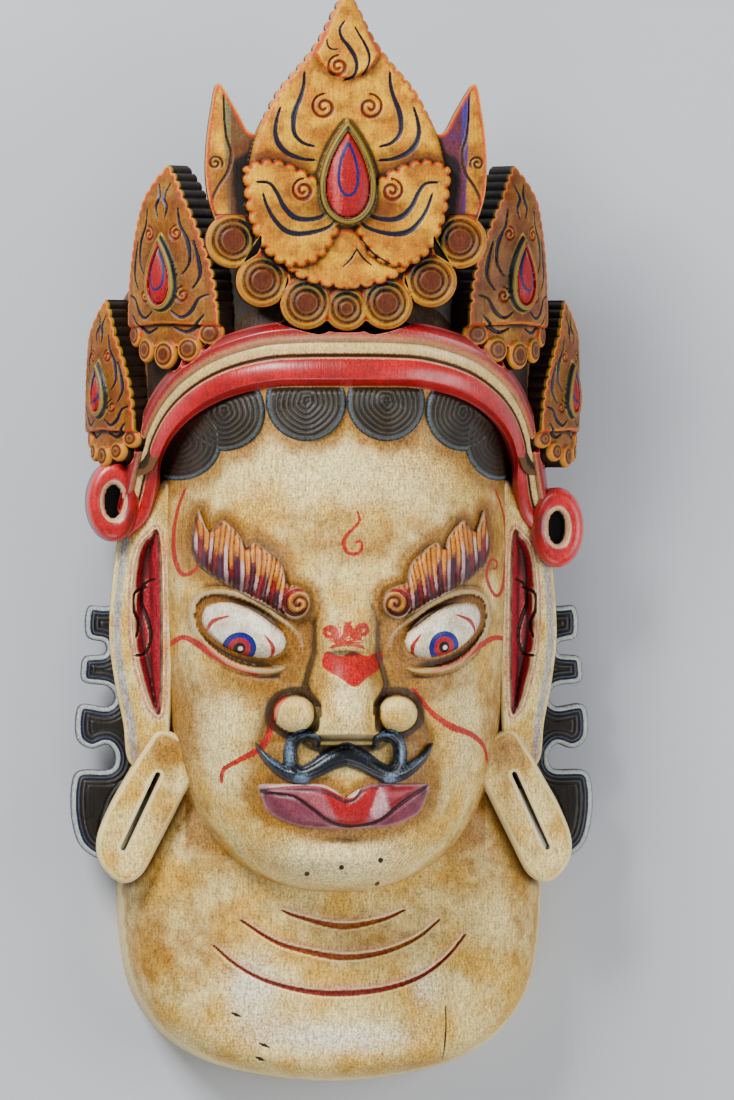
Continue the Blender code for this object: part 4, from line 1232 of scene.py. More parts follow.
@dataclass
class Brows:
    """The flame-like eyebrows: rows of carved strands that end in a curl by the nose."""

    head: Head
    height: float = 9.0
    strand: float = 3.5
    curl: Point = (35.0, 354.5)

    def strands(self, side: Array, y: Array) -> Array:
        """How many strands lie between a point and the middle line; the strands lean and sway."""
        lean = 0.16 * (y - 380) * np.clip((96 - side) / 50, -0.3, 1)
        sway = 0.9 * np.sin((y - 360) / 9 + side / 11)
        return (side + lean + sway) / self.strand

    def surface(self, x: Array, y: Array) -> Array:
        """Height of the brow's strands and curl."""
        side = np.abs(x)
        edge = distance_to(side, y, rounded(BROW, True), True)
        across = self.strands(side, y)
        away = np.hypot(side - self.curl[0], y - self.curl[1])
        turn = np.arctan2(y - self.curl[1], side - self.curl[0])
        wave = 0.5 + 0.5 * np.cos(2 * np.pi * (away / 6.2 - turn / (2 * np.pi)))
        tuft = 1.4 * np.sin(across * np.pi / 2 + 0.6)
        ridges = np.where(away < 12, 2.2 * wave, 1.1 * np.abs(np.sin(np.pi * across)) ** 0.8 + tuft)
        return self.head.ground(x, y) + (self.height - 2.2) * dome(edge / 5) + ridges * step(edge / 1.5)

    def build(self) -> None:
        """Carves and paints both brows."""
        for side in Side:
            outline = mirrored(rounded(BROW, True), side)
            obj = block(f"brow_{side.word}", outline, self.surface, self.head.skin, 0.8)
            x, y = sheet(obj)
            x = np.abs(x)
            upper = np.interp(x, (26, 46, 66, 87, 109), (366, 382, 396, 410, 420))
            lower = np.interp(x, (26, 40, 57, 74, 91, 109), (345, 343, 352, 361, 371, 388))
            share = np.clip((y - lower) / (upper - lower), 0, 1)
            number = np.floor(self.strands(x, y))
            across = self.strands(x, y) % 1.0
            away = np.hypot(x - self.curl[0], y - self.curl[1])
            body = away > 12
            reach = 0.55 + 0.16 * np.sin(number * 2.4) - 0.1 * np.clip((62 - x) / 24, 0, 1)
            edge = distance_to(x, y, rounded(BROW, True), True)
            inner = np.minimum(edge - 1.5, 9)
            gold = np.minimum((share - reach) * 24, inner)
            store(obj, "gold", np.where(body, gold, 6 - np.abs(away - 5) * 2))
            middle = 1 - 2 * np.abs(across - 0.5)
            pale = (0.75 + 0.3 * np.sin(number * 3.7) - 2.2 * np.abs(share - 0.46)) * middle * 6
            store(obj, "pink", np.where(body & (number % 3 == 0), np.minimum(pale, inner), -FAR))
            dark = (0.8 - 2.0 * np.abs(share - 0.42)) * middle * 6
            store(obj, "blue", np.where(body & (number % 3 == 1), np.minimum(dark, inner), -FAR))
            gap = np.where(number % 2 == 0, 0.35, 0.7) - np.minimum(across, 1 - across) * self.strand
            turn = np.arctan2(y - self.curl[1], x - self.curl[0])
            coil = ((away / 6.2 - turn / (2 * np.pi)) % 1.0) * 6.2
            coil = np.where(away < 10, np.minimum(coil, 6.2 - coil) - 2, -FAR)
            store(obj, "gap", np.where(body, gap, coil))
            store(obj, "edge", np.where(y > 350 + 0.6 * (x - 40), edge, FAR))
            store(obj, "foot", edge - 3.5 * (away < 14) * (y < 352))
            store(obj, "grime_and_shade", 0.25 + 0.5 * hill(share, 0 * share, 0, 0, 0.3, 1))
            # Brushed strand by strand: gold tips over crimson roots, with a silky varnish
            finish = PaintedWood(
                name=f"brow_paint_{side.word}",
                shades=("#8A0C12", "#AC1A1C"),
                grime_and_shade="#260604",
                rubbed="#F0CE9A",
                coats=(
                    Coat("pink", "#E4C6C6", strength=0.85, soft=0.6, wobble=1.2),
                    Coat("blue", "#1C1F42", strength=0.8, soft=0.6, wobble=1.2),
                    Coat("gold", "#E08A10", soft=2.4, wobble=6.0, strength=0.92),
                    Coat("gap", "#3C0C0C", soft=0.5, strength=0.85, wobble=0.8),
                    Coat("foot", "#5A0C10", bounds=(-9.0, 1.8), soft=0.8, strength=0.9),
                    Coat("edge", "#150A08", bounds=(-9.0, 1.0), soft=0.5),
                ),
                cloud=9,
                streak=0.2,
                speck=0.3,
                dirt=(0.2, 1.6),
                wear=(0.15, 0.6),
                wear_strength=0.35,
                roughness=(0.35, 0.5),
            )
            present(obj, "mask_head", finish)


@dataclass
class Mouth:
    """The painted lips."""

    head: Head
    parting: tuple[Point, ...] = (
        (-60, 219), (-43, 221.6), (-18, 221.6), (3, 213.6), (16, 224.3), (53, 227.5), (64, 226),
    )  # fmt: skip
    lower: tuple[Point, ...] = (
        (-60, 218.5), (-48, 216.5), (-36.6, 214.6), (-23.8, 205.8), (-15, 199), (-6, 195), (4.6, 193.5),
        (17.4, 195.5), (27.2, 199.5), (36, 206.8), (46.8, 214.6), (58, 221), (65, 227),
    )  # fmt: skip

    def surface(self, x: Array, y: Array) -> Array:
        """Height of the lips: a full middle lip with a cut line above it and another below."""
        side = np.abs(x)
        edge = distance_to(side, y, both_sides(rounded(LIPS, False)), True)
        above = distance_to(x, y, rounded(self.parting, False))
        below = distance_to(x, y, rounded(self.lower, False))
        cuts = 1.5 * bump(above, 0, 1.5) + 1.8 * bump(below, 0, 1.7)
        full = 1.8 * dome(np.minimum(above, below) / 7) * (distance_to(x, y, self.middle_lip(), True) > 0)
        return self.head.ground(x, y) + 7.5 * dome(edge / 11) - cuts + full

    def middle_lip(self) -> Array:
        """The outline between the two cut lines."""
        return np.concatenate([rounded(self.lower, False), rounded(self.parting, False)[::-1]])

    def build(self) -> None:
        """Carves and paints the lips."""
        obj = block("lips", both_sides(rounded(LIPS, False)), self.surface, self.head.skin, 0.9)
        mark(obj, "parting", [brushed([(x, y + 1.6) for x, y in self.parting], 0.7, 1.3, 1.2)])
        mark(obj, "line", [brushed(self.lower, 1.2, 1.3, 1.3)])
        mark(obj, "under", [brushed([(x, y - 2.6) for x, y in self.parting], 1.0, 1.5, 1.4)])
        x, y = sheet(obj)
        lip = distance_to(x, y, self.middle_lip(), True)
        over = y - np.interp(x, *np.array(self.parting, float).T)
        store(obj, "skin", over)
        store(obj, "rose", np.minimum(lip, 60))
        store(obj, "red", np.minimum(lip, 13 - np.abs(x - 4) + 0.5 * (y - 203)))
        store(obj, "crimson", np.minimum(lip, 0.8 * (x - 30)))
        # Painted highlight: pinkish white on the right of the lower lip.
        store(obj, "pale", np.minimum(lip - 1.2, 7 - np.abs(x - 25) - 0.35 * np.abs(y - 205)))
        # Painted shade at the mouth corners.
        store(obj, "grime_and_shade", 0.15 + 0.6 * hill(np.abs(x), y, 60, 219, 7, 8))
        # Rose madder over a violet ground, varnished to a soft shine, with a painted highlight on the lower
        # lip and painted shade at the corners
        finish = PaintedWood(
            name="lip_paint",
            shades=("#7A3A4A", "#8E4350"),
            grime_and_shade="#3A1A24",
            rubbed="#C08A90",
            coats=(
                Coat("rose", "#A8525C", soft=0.6),
                Coat("crimson", "#8E1C28", soft=2.5),
                Coat("red", "#A8141A", soft=2.2, wobble=1.5),
                # Painted highlight on the lower lip.
                Coat("pale", "#D9A8A8", soft=2.2, wobble=4.0, strength=0.8),
                Coat("skin", "#C6B48C", bounds=(2.0, 40.0), soft=0.5),
                Coat("under", "#3A1420", Paint.STROKE, soft=0.5, strength=0.9),
                Coat("line", "#2E1018", Paint.STROKE, soft=0.4, strength=0.95),
                Coat("parting", "#E2CDB6", Paint.STROKE, soft=0.3, strength=0.95),
            ),
            cloud=12,
            streak=0.3,
            roughness=(0.3, 0.45),
            dirt=(0.3, 2.0),
        )
        present(obj, "mask_head", finish)


@dataclass
class Moustache:
    """The curling moustache, carved in the round."""

    head: Head
    height: float = 9.0

    @staticmethod
    def depth_in(side: Array, y: Array) -> tuple[Array, Array]:
        """How far inside the moustache each point lies.

        Args:
            side: Distance from the middle line.
            y: Sheet y.

        Returns:
            Depth as a share of the half-width there, below 0 outside, and the distance across it in mm.
        """
        best, away = np.full(np.shape(side), -FAR), np.full(np.shape(side), FAR)
        for drawn in (MOUSTACHE_BODY, MOUSTACHE_TAIL):
            line = rounded(drawn, False)
            for a, b in zip(line, line[1:]):
                t, reach = nearest(side, y, a, b)
                share = 1 - reach / (a[2] + t * (b[2] - a[2]))
                away = np.where(share > best, reach, away)
                best = np.maximum(best, share)
        return best, away

    def surface(self, x: Array, y: Array) -> Array:
        """Height of the moustache, with a line cut along each strand."""
        share, away = self.depth_in(np.abs(x), y)
        return self.head.ground(x, y) + self.height * dome(share) - bump(share, 0.45, 0.09) * (away > 1.5)

    def build(self) -> None:
        """Carves and paints the moustache from a grid kept where the strands are."""
        bm = bmesh.new()
        bmesh.ops.create_grid(bm, x_segments=200, y_segments=64, size=0.5)
        for vert in bm.verts:
            vert.co = (vert.co.x * 144, 244 + vert.co.y * 50, 0)
        centres = np.array([face.calc_center_median()[:2] for face in bm.faces])
        share, _ = self.depth_in(np.abs(centres[:, 0]), centres[:, 1])
        bmesh.ops.delete(bm, geom=[face for face, room in zip(bm.faces, share) if room < 0], context="FACES")
        made = bmesh.ops.extrude_face_region(bm, geom=bm.faces[:])["geom"]
        sunk = {item for item in made if isinstance(item, bmesh.types.BMVert)}
        lower = np.array([vert in sunk for vert in bm.verts])
        x, y = np.array([vert.co[:2] for vert in bm.verts]).T
        obj = to_object("moustache", bm)
        z = np.where(lower, self.head.ground(x, y) - 3, self.surface(x, y) - 0.4)
        obj.data.vertices.foreach_set("co", on_sheet(x, y, z).astype(np.float32).ravel())
        outwards(obj)
        side = np.abs(x)
        # Painted highlights: pale blue at the bottoms of the curls, along their outer sides and on the tails.
        painted_highlight = hill(side, y, 32, 227, 6, 4.5) + 0.8 * hill(side, y, 41, 246, 3, 11)
        painted_highlight += hill(side, y, 30, 261, 8, 2.4) + 0.5 * hill(side, y, 52, 240, 9, 2, 0.6)
        painted_highlight += 0.4 * hill(side, y, 14, 244, 10, 2, -0.4)
        store(obj, "shine", 3 * painted_highlight)
        store(obj, "grime_and_shade", 0.1 + 0 * x)
        # Lamp black with indigo, glossy, with painted pale-blue highlights, and rubbed pale blue where it
        # stands out
        finish = PaintedWood(
            name="blue_black_moustache",
            shades=("#0B0D14", "#121823"),
            grime_and_shade="#050608",
            rubbed="#3A4C62",
            # Painted highlight.
            coats=(Coat("shine", "#7C98B4", bounds=(1.4, 99.0), strength=0.7, soft=1.2, wobble=3.0),),
            cloud=14,
            gloss=0.5,
            wear=(0.1, 0.5),
            wear_strength=0.35,
            roughness=(0.28, 0.4),
        )
        present(obj, "mask_head", finish)


@dataclass
class Hair:
    """The row of flat curls that shows under the headband."""

    head: Head
    band: tuple[tuple[float, ...], ...]
    ring: float = 3.7
    temple: float = 127.5  # where the outer curls end at the side of the head
    parting: float = 0.15  # half the gap between the two middle curls

    def band_foot(self, side: Array) -> Array:
        """The headband's lower edge at each distance from the middle line."""
        return through([(row[2], row[3]) for row in self.band])(side)

    def build(self) -> None:
        """Carves and paints each curl as its own disc."""
        # Smoked soot black: dull brown on top, with a painted blue-grey highlight in a ring just inside each
        # curl's edge
        finish = PaintedWood(
            name="smoke_black_hair",
            shades=("#241B0F", "#382A16"),
            grime_and_shade="#0E0B07",
            rubbed="#5A5A50",
            coats=(
                Coat("rings", "#14110C", bounds=(-0.7, 0.7), soft=0.5, wobble=0.8, strength=0.75),
                Coat("edge", "#0A0B0E", bounds=(-5.0, 3.4), soft=0.6),
                # Painted highlight: blue-grey just inside the edge.
                Coat("edge", "#6A8296", bounds=(1.2, 2.8), strength=0.7, wobble=4.0, soft=0.8),
            ),
            cloud=16,
            wear=(0.1, 0.4),
            wear_strength=0.4,
        )
        radius = self.head.hair_radius
        for side in Side:
            for number, (cx, cy) in enumerate(HAIR_CURLS, 1):
                centre = (side.value * cx, cy)

                def uneven(x: Array, y: Array) -> tuple[Array, Array]:
                    """Distance from the disc's middle, true and as the knife wandered."""
                    away = np.hypot(x - centre[0], y - centre[1])
                    turn = np.arctan2(y - centre[1], side.value * (x - centre[0]))
                    return away, away + 0.7 * np.sin(2 * turn + number) + 0.35 * np.sin(5 * turn)

                def surface(x: Array, y: Array) -> Array:
                    """A flat disc with rings cut in it, leaning on the forehead."""
                    away, wandered = uneven(x, y)
                    rings = 0.6 * np.cos(2 * np.pi * wandered / self.ring)
                    rise = 5 * step((radius - away) / 3) + rings * step((radius - away - 3) / 3)
                    clear = self.band_foot(np.abs(x)) - y
                    return self.head.ground(x, y) + rise * step(clear / 4) - 2.5 * step(-clear / 3)

                outline = oval(centre, (radius, radius), 96)
                inner = self.parting if number == 1 else -FAR
                outline[:, 0] = side.value * np.clip(side.value * outline[:, 0], inner, self.temple)
                obj = block(f"hair_curl_{side.word}_{number}", outline, surface, self.head.skin, 1.1)
                away, wandered = uneven(*sheet(obj))
                store(obj, "rings", wandered % self.ring - self.ring / 2)
                store(obj, "edge", radius - away)
                store(obj, "grime_and_shade", 0.25 + 0 * away)
                present(obj, "mask_head", finish)


@dataclass
class Neck:
    """The broad neck and chest, with three incised rings."""

    lobe: tuple[Point, ...]
    pitch: float = 1.35
    half: tuple[Point, ...] = (
        (0, 0.2), (28, 1.6), (55, 5.5), (80, 11), (103, 20.5), (125, 36), (142, 58), (151, 80), (155, 105),
        (157, 130), (157, 152), (152, 185), (138, 220), (116, 250), (0, 262),
    )  # fmt: skip
    depth: tuple[Point, ...] = ((0, 72), (20, 76), (60, 82), (130, 87), (262, 92))
    rounding: tuple[Point, ...] = ((0, 12), (30, 24), (90, 52), (262, 70))
    arcs: tuple[tuple[Point, ...], ...] = (
        ((-39.2, 128.9), (-26, 123.8), (4, 117.2), (32.6, 121.6), (50.1, 128.9)),
        ((-69.3, 121.6), (-43.6, 105.5), (-18.7, 98.2), (4, 94.5), (25.2, 96), (44.3, 101.1),
         (61.9, 109.9), (75.8, 121.6)),
        ((-89.6, 103.3), (-73.5, 89.4), (-52.2, 77.7), (-22.2, 69.6), (6, 67.8), (36.4, 71.1), (62.1, 79.9),
         (81.1, 93.8), (95, 110.6)),
    )  # fmt: skip
    chips: tuple[Point, ...] = ((-73, 52.7), (-54.7, 19.8), (-52, 30))
    crack: tuple[Point, ...] = ((80.9, 58.6), (81.6, 41.8), (80.1, 17.6))

    def outline(self) -> Array:
        """The neck's outline."""
        return both_sides(rounded(self.half, False, 6))

    def plain(self, x: Array, y: Array, outline: Array) -> Array:
        """The neck's surface before the rings are cut."""
        inside = distance_to(x, y, outline, True)
        return through(self.depth)(y) * dome(inside / through(self.rounding)(y), 2.4)

    def hollow(self) -> bpy.types.Object:
        """The form that is cut away behind the neck, one wall inside it."""
        outline = self.outline()

        def top(x: Array, y: Array) -> Array:
            """The hollow's surface."""
            return self.plain(x, y, outline) - WALL

        inner = grown(both_sides(rounded(self.half, False, 3)), -WALL)
        return block("neck_hollow", inner, top, BURIED - 3, 8)

    def build(self, wood: bpy.types.Material, cutters: Sequence[bpy.types.Object]) -> None:
        """Carves, hollows and paints the neck.

        Args:
            wood: The bare wood inside.
            cutters: The hollows, pockets and saw cut.
        """
        outline = self.outline()
        rings = [brushed(arc, 0.8, 2.3, 0.8) for arc in self.arcs]
        nicks = [
            Stroke(np.array([(x - 3, y + 1), (x + 3, y - 1.5)], float), (0.6, 1.4, 0.6))
            for x, y in self.chips
        ]
        nicks.append(brushed(self.crack, 0.3, 0.6, 0.3))

        def top(x: Array, y: Array) -> Array:
            """The carved surface with its rings and nicks."""
            return self.plain(x, y, outline) - groove(x, y, rings, 2.6) - groove(x, y, nicks, 1.6)

        obj = block("neck", outline, top, BURIED - 1, self.pitch)
        cut(obj, cutters)
        x, y, z = redrawn(obj)
        mark(obj, "ring", rings)
        mark(obj, "nick", nicks)
        mark(obj, "halo", [Stroke(stroke.line + (0, 3.2), (1.2, 4.2, 1.2)) for stroke in rings])
        side = np.abs(x)
        grime_and_shade = 0.75 * hill(x, y, -70, 190, 60, 40) + 0.55 * hill(x, y, 96, 176, 50, 44)
        grime_and_shade += 0.55 * hill(x, y, 20, 110, 80, 26) + 0.5 * hill(x, y, -110, 96, 36, 50)
        grime_and_shade += 0.45 * hill(x, y, 60, 12, 80, 14) + 0.4 * hill(side, y, 140, 120, 16, 60)
        grime_and_shade += 0.5 * step((60 - z) / 40)
        # Painted shadow under the chin, across the top of the neck.
        grime_and_shade += 0.9 * step((170 - y) / -22) * (side < 110)
        store(obj, "grime_and_shade", np.clip(grime_and_shade, 0, 1.1))
        # Painted shadow on the neck beside each lobe.
        lobe = near(side, y, rounded(self.lobe, True), True, 30)
        store(obj, "lobe_shade", np.where(side < 158, 7 + lobe, -FAR))
        white = hill(x, y, -62, 74, 26, 30) + hill(x, y, 0, 36, 70, 16) + 0.8 * hill(x, y, 66, 74, 14, 20)
        store(obj, "white", 5 * white)
        # The face's chalky cream, more stained, with crimson glaze in the incised rings, and painted shadow
        # beside the lobes and under the chin
        finish = PaintedWood(
            name="cream_neck_paint",
            coats=(
                Coat("white", "#FBF3DC", bounds=(3.6, 90.0), soft=2.4, wobble=5.0, strength=0.75),
                # Painted shadow beside the lobes.
                Coat("lobe_shade", "#2A140E", bounds=(3.0, 90.0), soft=3.5, wobble=3.0, strength=0.9),
                Coat("halo", "#C98A86", Paint.STROKE, soft=0.7, wobble=0.8, strength=0.5),
                Coat("ring", "#7E0E16", Paint.STROKE, soft=0.3, wobble=0.4, strength=0.97),
                Coat("nick", "#2A1808", Paint.STROKE, soft=0.3, wobble=0.5),
            ),
            streak=0.35,
            dirt=(1.4, 5.0),
            **CREAM,
        )
        present(obj, "mask_head", finish, wood)


@dataclass
class CrownBlock:
    """The dark block behind the headband, on which the crown boards lean."""

    half: tuple[Point, ...] = (
        (0, 536), (60, 530), (96, 514), (124, 484), (136, 452), (152, 450), (164, 468), (167, 500),
        (166, 540),
        (156, 572), (132, 606), (96, 636), (50, 652), (0, 656),
    )  # fmt: skip
    half_width: float = 170.0
    depth: float = 180.0
    turn: float = 584.0

    def top(self, x: Array, y: Array) -> Array:
        """The block's surface."""
        over = np.clip((y - self.turn) / (658 - self.turn), 0, 1)
        return self.depth * superellipse(x / self.half_width, 2.2, 2) * superellipse(over, 2.4, 2)

    def hollow(self) -> bpy.types.Object:
        """The form that is cut away behind the block, one wall inside it."""

        def top(x: Array, y: Array) -> Array:
            """The hollow's surface."""
            return self.top(x, y) - WALL

        inner = grown(both_sides(rounded(self.half, False, 3)), -WALL)
        return block("crown_hollow", inner, top, BURIED - 6, 9)

    def build(self, wood: bpy.types.Material, cutters: Sequence[bpy.types.Object]) -> None:
        """Carves, hollows and paints the block.

        Args:
            wood: The bare wood inside.
            cutters: The hollows, pockets and saw cut.
        """
        outline = both_sides(rounded(self.half, False, 3))
        obj = block("crown_block", outline, self.top, BURIED - 2, 2.6)
        cut(obj, cutters)
        store(obj, "grime_and_shade", np.full(len(obj.data.vertices), 0.45))
        # Dull brown-black all over, so that the block shows dark between the boards
        finish = PaintedWood(
            name="dark_brown_crown_ground",
            shades=("#2A1C12", "#3A2415"),
            grime_and_shade="#150E09",
            rubbed="#6E4A22",
            cloud=30,
            roughness=(0.5, 0.7),
        )
        present(obj, "mask_head", finish, wood)


@dataclass
class Headband:
    """The rolled band over the forehead and the open curls at its ends."""

    fall: float = 26.0
    edges: tuple[tuple[float, ...], ...] = (
        (0, 560, 0, 511, 210), (32, 559.5, 27, 511, 208), (64, 556, 52, 510.5, 202), (96, 545, 80, 505, 188),
        (118, 530, 103, 494, 168), (134, 511, 120, 478, 145), (146, 485, 129, 459, 121),
        (153, 459, 130, 437, 102), (157, 438, 136, 414, 90), (160, 424, 151, 401, 84),
    )  # outer x and y, inner x and y, and crest  # fmt: skip
    curl_depth: Point = (44.0, 88.0)
    curl_floor: float = 8.0
    curl_radii: Point = (19.5, 29.5)
    curl_hole: Point = (6.5, 12.0)
    curls: tuple[Point, ...] = ((-163, 429), (163.5, 410))

    def roll(self, t: Array) -> Array:
        """Section of the band from its lower edge, t = 0, to its upper edge, t = 1."""
        lower = 6 * np.sqrt(np.clip(1 - ((t - 0.2) / 0.24) ** 2, 0, 1))
        upper = 5 * np.sqrt(np.clip(1 - ((t - 0.85) / 0.17) ** 2, 0, 1))
        rolls = lower + np.maximum(upper, 1.6 * bump(t, 0.6, 0.1)) - 1.5 * bump(t, 0.475, 0.022)
        return rolls - 8 - self.fall * np.clip(np.abs(2 * t - 1) - 0.75, 0, 1)

    def build(self, wood: bpy.types.Material, cutters: Sequence[bpy.types.Object]) -> None:
        """Builds the band and its curls.

        Args:
            wood: The bare wood inside.
            cutters: The hollows, pockets and saw cut.
        """
        bm = bmesh.new()
        bmesh.ops.create_grid(bm, x_segments=330, y_segments=64, size=0.5)
        grid = np.array([vert.co[:2] for vert in bm.verts]) + 0.5
        row = np.array(self.edges, float)
        stations = np.linspace(0, 1, len(row))
        run = np.abs(2 * grid[:, 0] - 1)
        side = np.where(grid[:, 0] < 0.5, -1, 1)
        outer_x, outer_y, inner_x, inner_y, crest = (
            through(list(zip(stations, column)))(run) for column in row.T
        )
        t = grid[:, 1]
        x = side * (inner_x + (outer_x - inner_x) * t)
        y = inner_y + (outer_y - inner_y) * t
        for vert, point in zip(bm.verts, on_sheet(x, y, crest + self.roll(t))):
            vert.co = point
        across = bm.verts.layers.float.new("across")
        for vert, share in zip(bm.verts, t):
            vert[across] = share * 50
        close_below(bm, (self.curl_depth[0] + 6) * MM)
        obj = to_object("headband", bm)
        cut(obj, cutters)
        share = read(obj, "across") / 50
        # Painted shade along the band's upper edge, over a little dirt all over.
        store(obj, "grime_and_shade", 0.15 + 0.5 * step((share - 0.85) / 0.15))
        present(obj, "mask_head", self.finish("headband_red_lacquer"), wood)
        self.build_curls()

    def finish(self, name: str) -> PaintedWood:
        """Red lacquer paint with a rubbed cream channel.

        Args:
            name: The material's name.

        Returns:
            The finish.
        """
        return PaintedWood(
            name=name,
            coats=(
                Coat("across", "#8A0E16", bounds=(38.0, 60.0), soft=4.0, wobble=3.0, strength=0.75),
                Coat("across", "#CFA06A", bounds=(25.0, 38.5), soft=3.5, wobble=9.0, strength=0.75),
                Coat("across", "#E4C478", bounds=(24.0, 33.5), soft=1.5, wobble=5.0, strength=0.92),
                Coat("across", "#5E3A10", bounds=(22.4, 25.4), soft=0.6, wobble=1.6, strength=0.95),
                Coat("across", "#E0B48A", bounds=(21.0, 22.3), soft=0.4, wobble=1.0, strength=0.7),
            ),
            cloud=50,
            streak=0.25,
            speck=0.25,
            gloss=0.5,
            lacquer=0.35,
            roughness=(0.3, 0.45),
            wear_strength=0.3,
            **RED,
        )

    def build_curls(self) -> None:
        """Builds the open curl at each end of the band."""
        # The band's glossy vermilion lacquer, with bare gesso round the hole and painted shade, near black, in
        # the blind hole
        finish = PaintedWood(
            name="curl_red_lacquer",
            coats=(
                Coat("hole", "#E2D0A0", bounds=(-99, 3.6), soft=0.6, wobble=1.2),
                # Painted shade: near black down in the blind hole.
                Coat("hole", "#0C0806", bounds=(-99, -0.4), soft=0.5, wobble=0.4),
            ),
            lacquer=0.3,
            gloss=0.5,
            roughness=(0.3, 0.45),
            cloud=40,
            streak=0.2,
            speck=0.2,
            wear_strength=0.3,
            **RED,
        )
        for side, centre in zip(Side, self.curls):
            outline, hole = oval(centre, self.curl_radii, 120), oval(centre, self.curl_hole, 72)

            def top(x: Array, y: Array) -> Array:
                """A round roll about a blind hole."""
                inner = -distance_to(x, y, hole, True)
                rim = np.minimum(distance_to(x, y, outline, True), inner)
                roll = self.curl_depth[1] - 7 + 7 * dome(rim / 7)
                return np.where(inner < 0, self.curl_depth[0] + self.curl_floor, roll)

            obj = block(f"band_curl_{side.word}", outline, top, self.curl_depth[0], 1.0)
            x, y = sheet(obj)
            store(obj, "hole", -distance_to(x, y, hole, True))
            store(obj, "grime_and_shade", 0.15 + 0.4 * hill(np.abs(x), y, 150, centre[1], 9, 30))
            present(obj, "mask_head", finish)


@dataclass
class Ears:
    """The long ears and their hanging lobes."""

    ear: tuple[Point, ...] = (
        (120, 430), (134, 438), (148, 430), (158, 404), (163, 368), (165, 330), (161, 296), (155, 266),
        (152, 240), (142, 232), (132, 240), (122, 262),
    )  # fmt: skip
    hollow: tuple[Point, ...] = (
        (128, 285), (134, 276), (140, 290), (147, 320), (149, 352), (146, 388), (138, 403), (129, 398),
    )  # fmt: skip
    lobe: tuple[Point, ...] = (
        (108, 250), (128, 262), (141, 247), (152, 229), (166, 204), (174.5, 181), (172, 163), (158, 149.5),
        (143, 155), (129, 180), (114, 210), (106, 228),
    )  # fmt: skip
    slit: tuple[Point, Point] = ((131, 229), (156, 175))
    slit_half: float = 1.9

    def slit_outline(self, side: Side) -> Array:
        """The lobe's round-ended slit."""
        ends = mirrored(self.slit, side)
        heading = np.arctan2(*(ends[1] - ends[0])[::-1])
        turn = np.radians(np.arange(-90, 91, 30)) + heading
        cap = self.slit_half * np.stack([np.cos(turn), np.sin(turn)], axis=-1)
        return np.concatenate([ends[1] + cap, ends[0] - cap])

    def build(self) -> None:
        """Carves and paints both ears and lobes."""
        folds = (
            ((133, 372), (140, 368), (142, 356), (138, 344), (135, 330), (139, 318), (147, 316)),
            ((139, 366), (147, 362), (148, 350), (144, 340), (146, 330)),
        )
        for side in Side:
            outline = mirrored(rounded(self.ear, True), side)
            hollow = mirrored(rounded(self.hollow, True), side)
            lines = [Stroke(mirrored(rounded(fold, False), side), (0.8, 1.5, 0.8)) for fold in folds]

            def top(x: Array, y: Array) -> Array:
                """The ear's shell, sunk inside its rim, with the folds cut in."""
                front = 92 - 0.75 * (np.abs(x) - 128)
                edge = distance_to(x, y, outline, True)
                sunk = distance_to(x, y, hollow, True)
                folds_in = groove(x, y, lines, 1.6) * (sunk > 0)
                return front - 6 + 6 * dome(edge / 6) - 11 * step(sunk / 8) - folds_in

            obj = block(f"ear_{side.word}", outline, top, 53.0, 1.0)
            x, y = sheet(obj)
            store(obj, "inside", distance_to(x, y, hollow, True))
            store(obj, "outer", np.where(np.abs(x) > 140, 9 - distance_to(x, y, outline, True), -FAR))
            mark(obj, "fold", lines)
            across = np.abs(x)
            grime_and_shade = 0.5 * hill(across, y, 146, 240, 12, 22) + 0.35 * hill(across, y, 124, 420, 12, 30)
            store(obj, "grime_and_shade", grime_and_shade)
            # Chalky cream on the rim, wine red inside, with the folds drawn in near-black
            finish = PaintedWood(
                name=f"ear_paint_{side.word}",
                coats=(
                    Coat("outer", "#8F9BB0", bounds=(1.0, 6.5), soft=1.5, strength=0.7, wobble=2.0),
                    Coat("inside", "#B9737A", bounds=(-3.4, -1.6), soft=0.5, strength=0.75),
                    Coat("inside", "#A51C2C", bounds=(-0.4, 99), soft=0.4),
                    Coat("inside", "#2C0C0E", bounds=(0.2, 1.7), soft=0.5, wobble=1.0),
                    Coat("fold", "#3A0F12", Paint.STROKE),
                ),
                cloud=22,
                **CREAM,
            )
            present(obj, "mask_head", finish)
            self.build_lobe(side)

    def build_lobe(self, side: Side) -> None:
        """Builds one hanging lobe.

        Args:
            side: Which ear it hangs from.
        """
        outline, slit = mirrored(rounded(self.lobe, True), side), self.slit_outline(side)

        def top(x: Array, y: Array) -> Array:
            """A rounded flat tongue."""
            front = 100 - 0.32 * (np.abs(x) - 110)
            return front - 5 + 5 * dome(distance_to(x, y, outline, True) / 6)

        obj = block(f"ear_lobe_{side.word}", outline, top, 54.0, 1.1, [slit])
        x, y = sheet(obj)
        store(obj, "slit", -distance_to(x, y, slit, True))
        across = np.abs(x)
        store(obj, "grime_and_shade", 0.7 * hill(across, y, 122, 246, 20, 16) + 0.4 * hill(across, y, 126, 200, 10, 34))
        # The same chalky cream, dull and hand-worn, with a red slit
        finish = PaintedWood(
            name=f"ear_lobe_paint_{side.word}",
            coats=(Coat("slit", "#6A1416", bounds=(-99, 1.0), soft=0.3),),
            cloud=26,
            **CREAM,
        )
        present(obj, "mask_head", finish)


# The crown boards


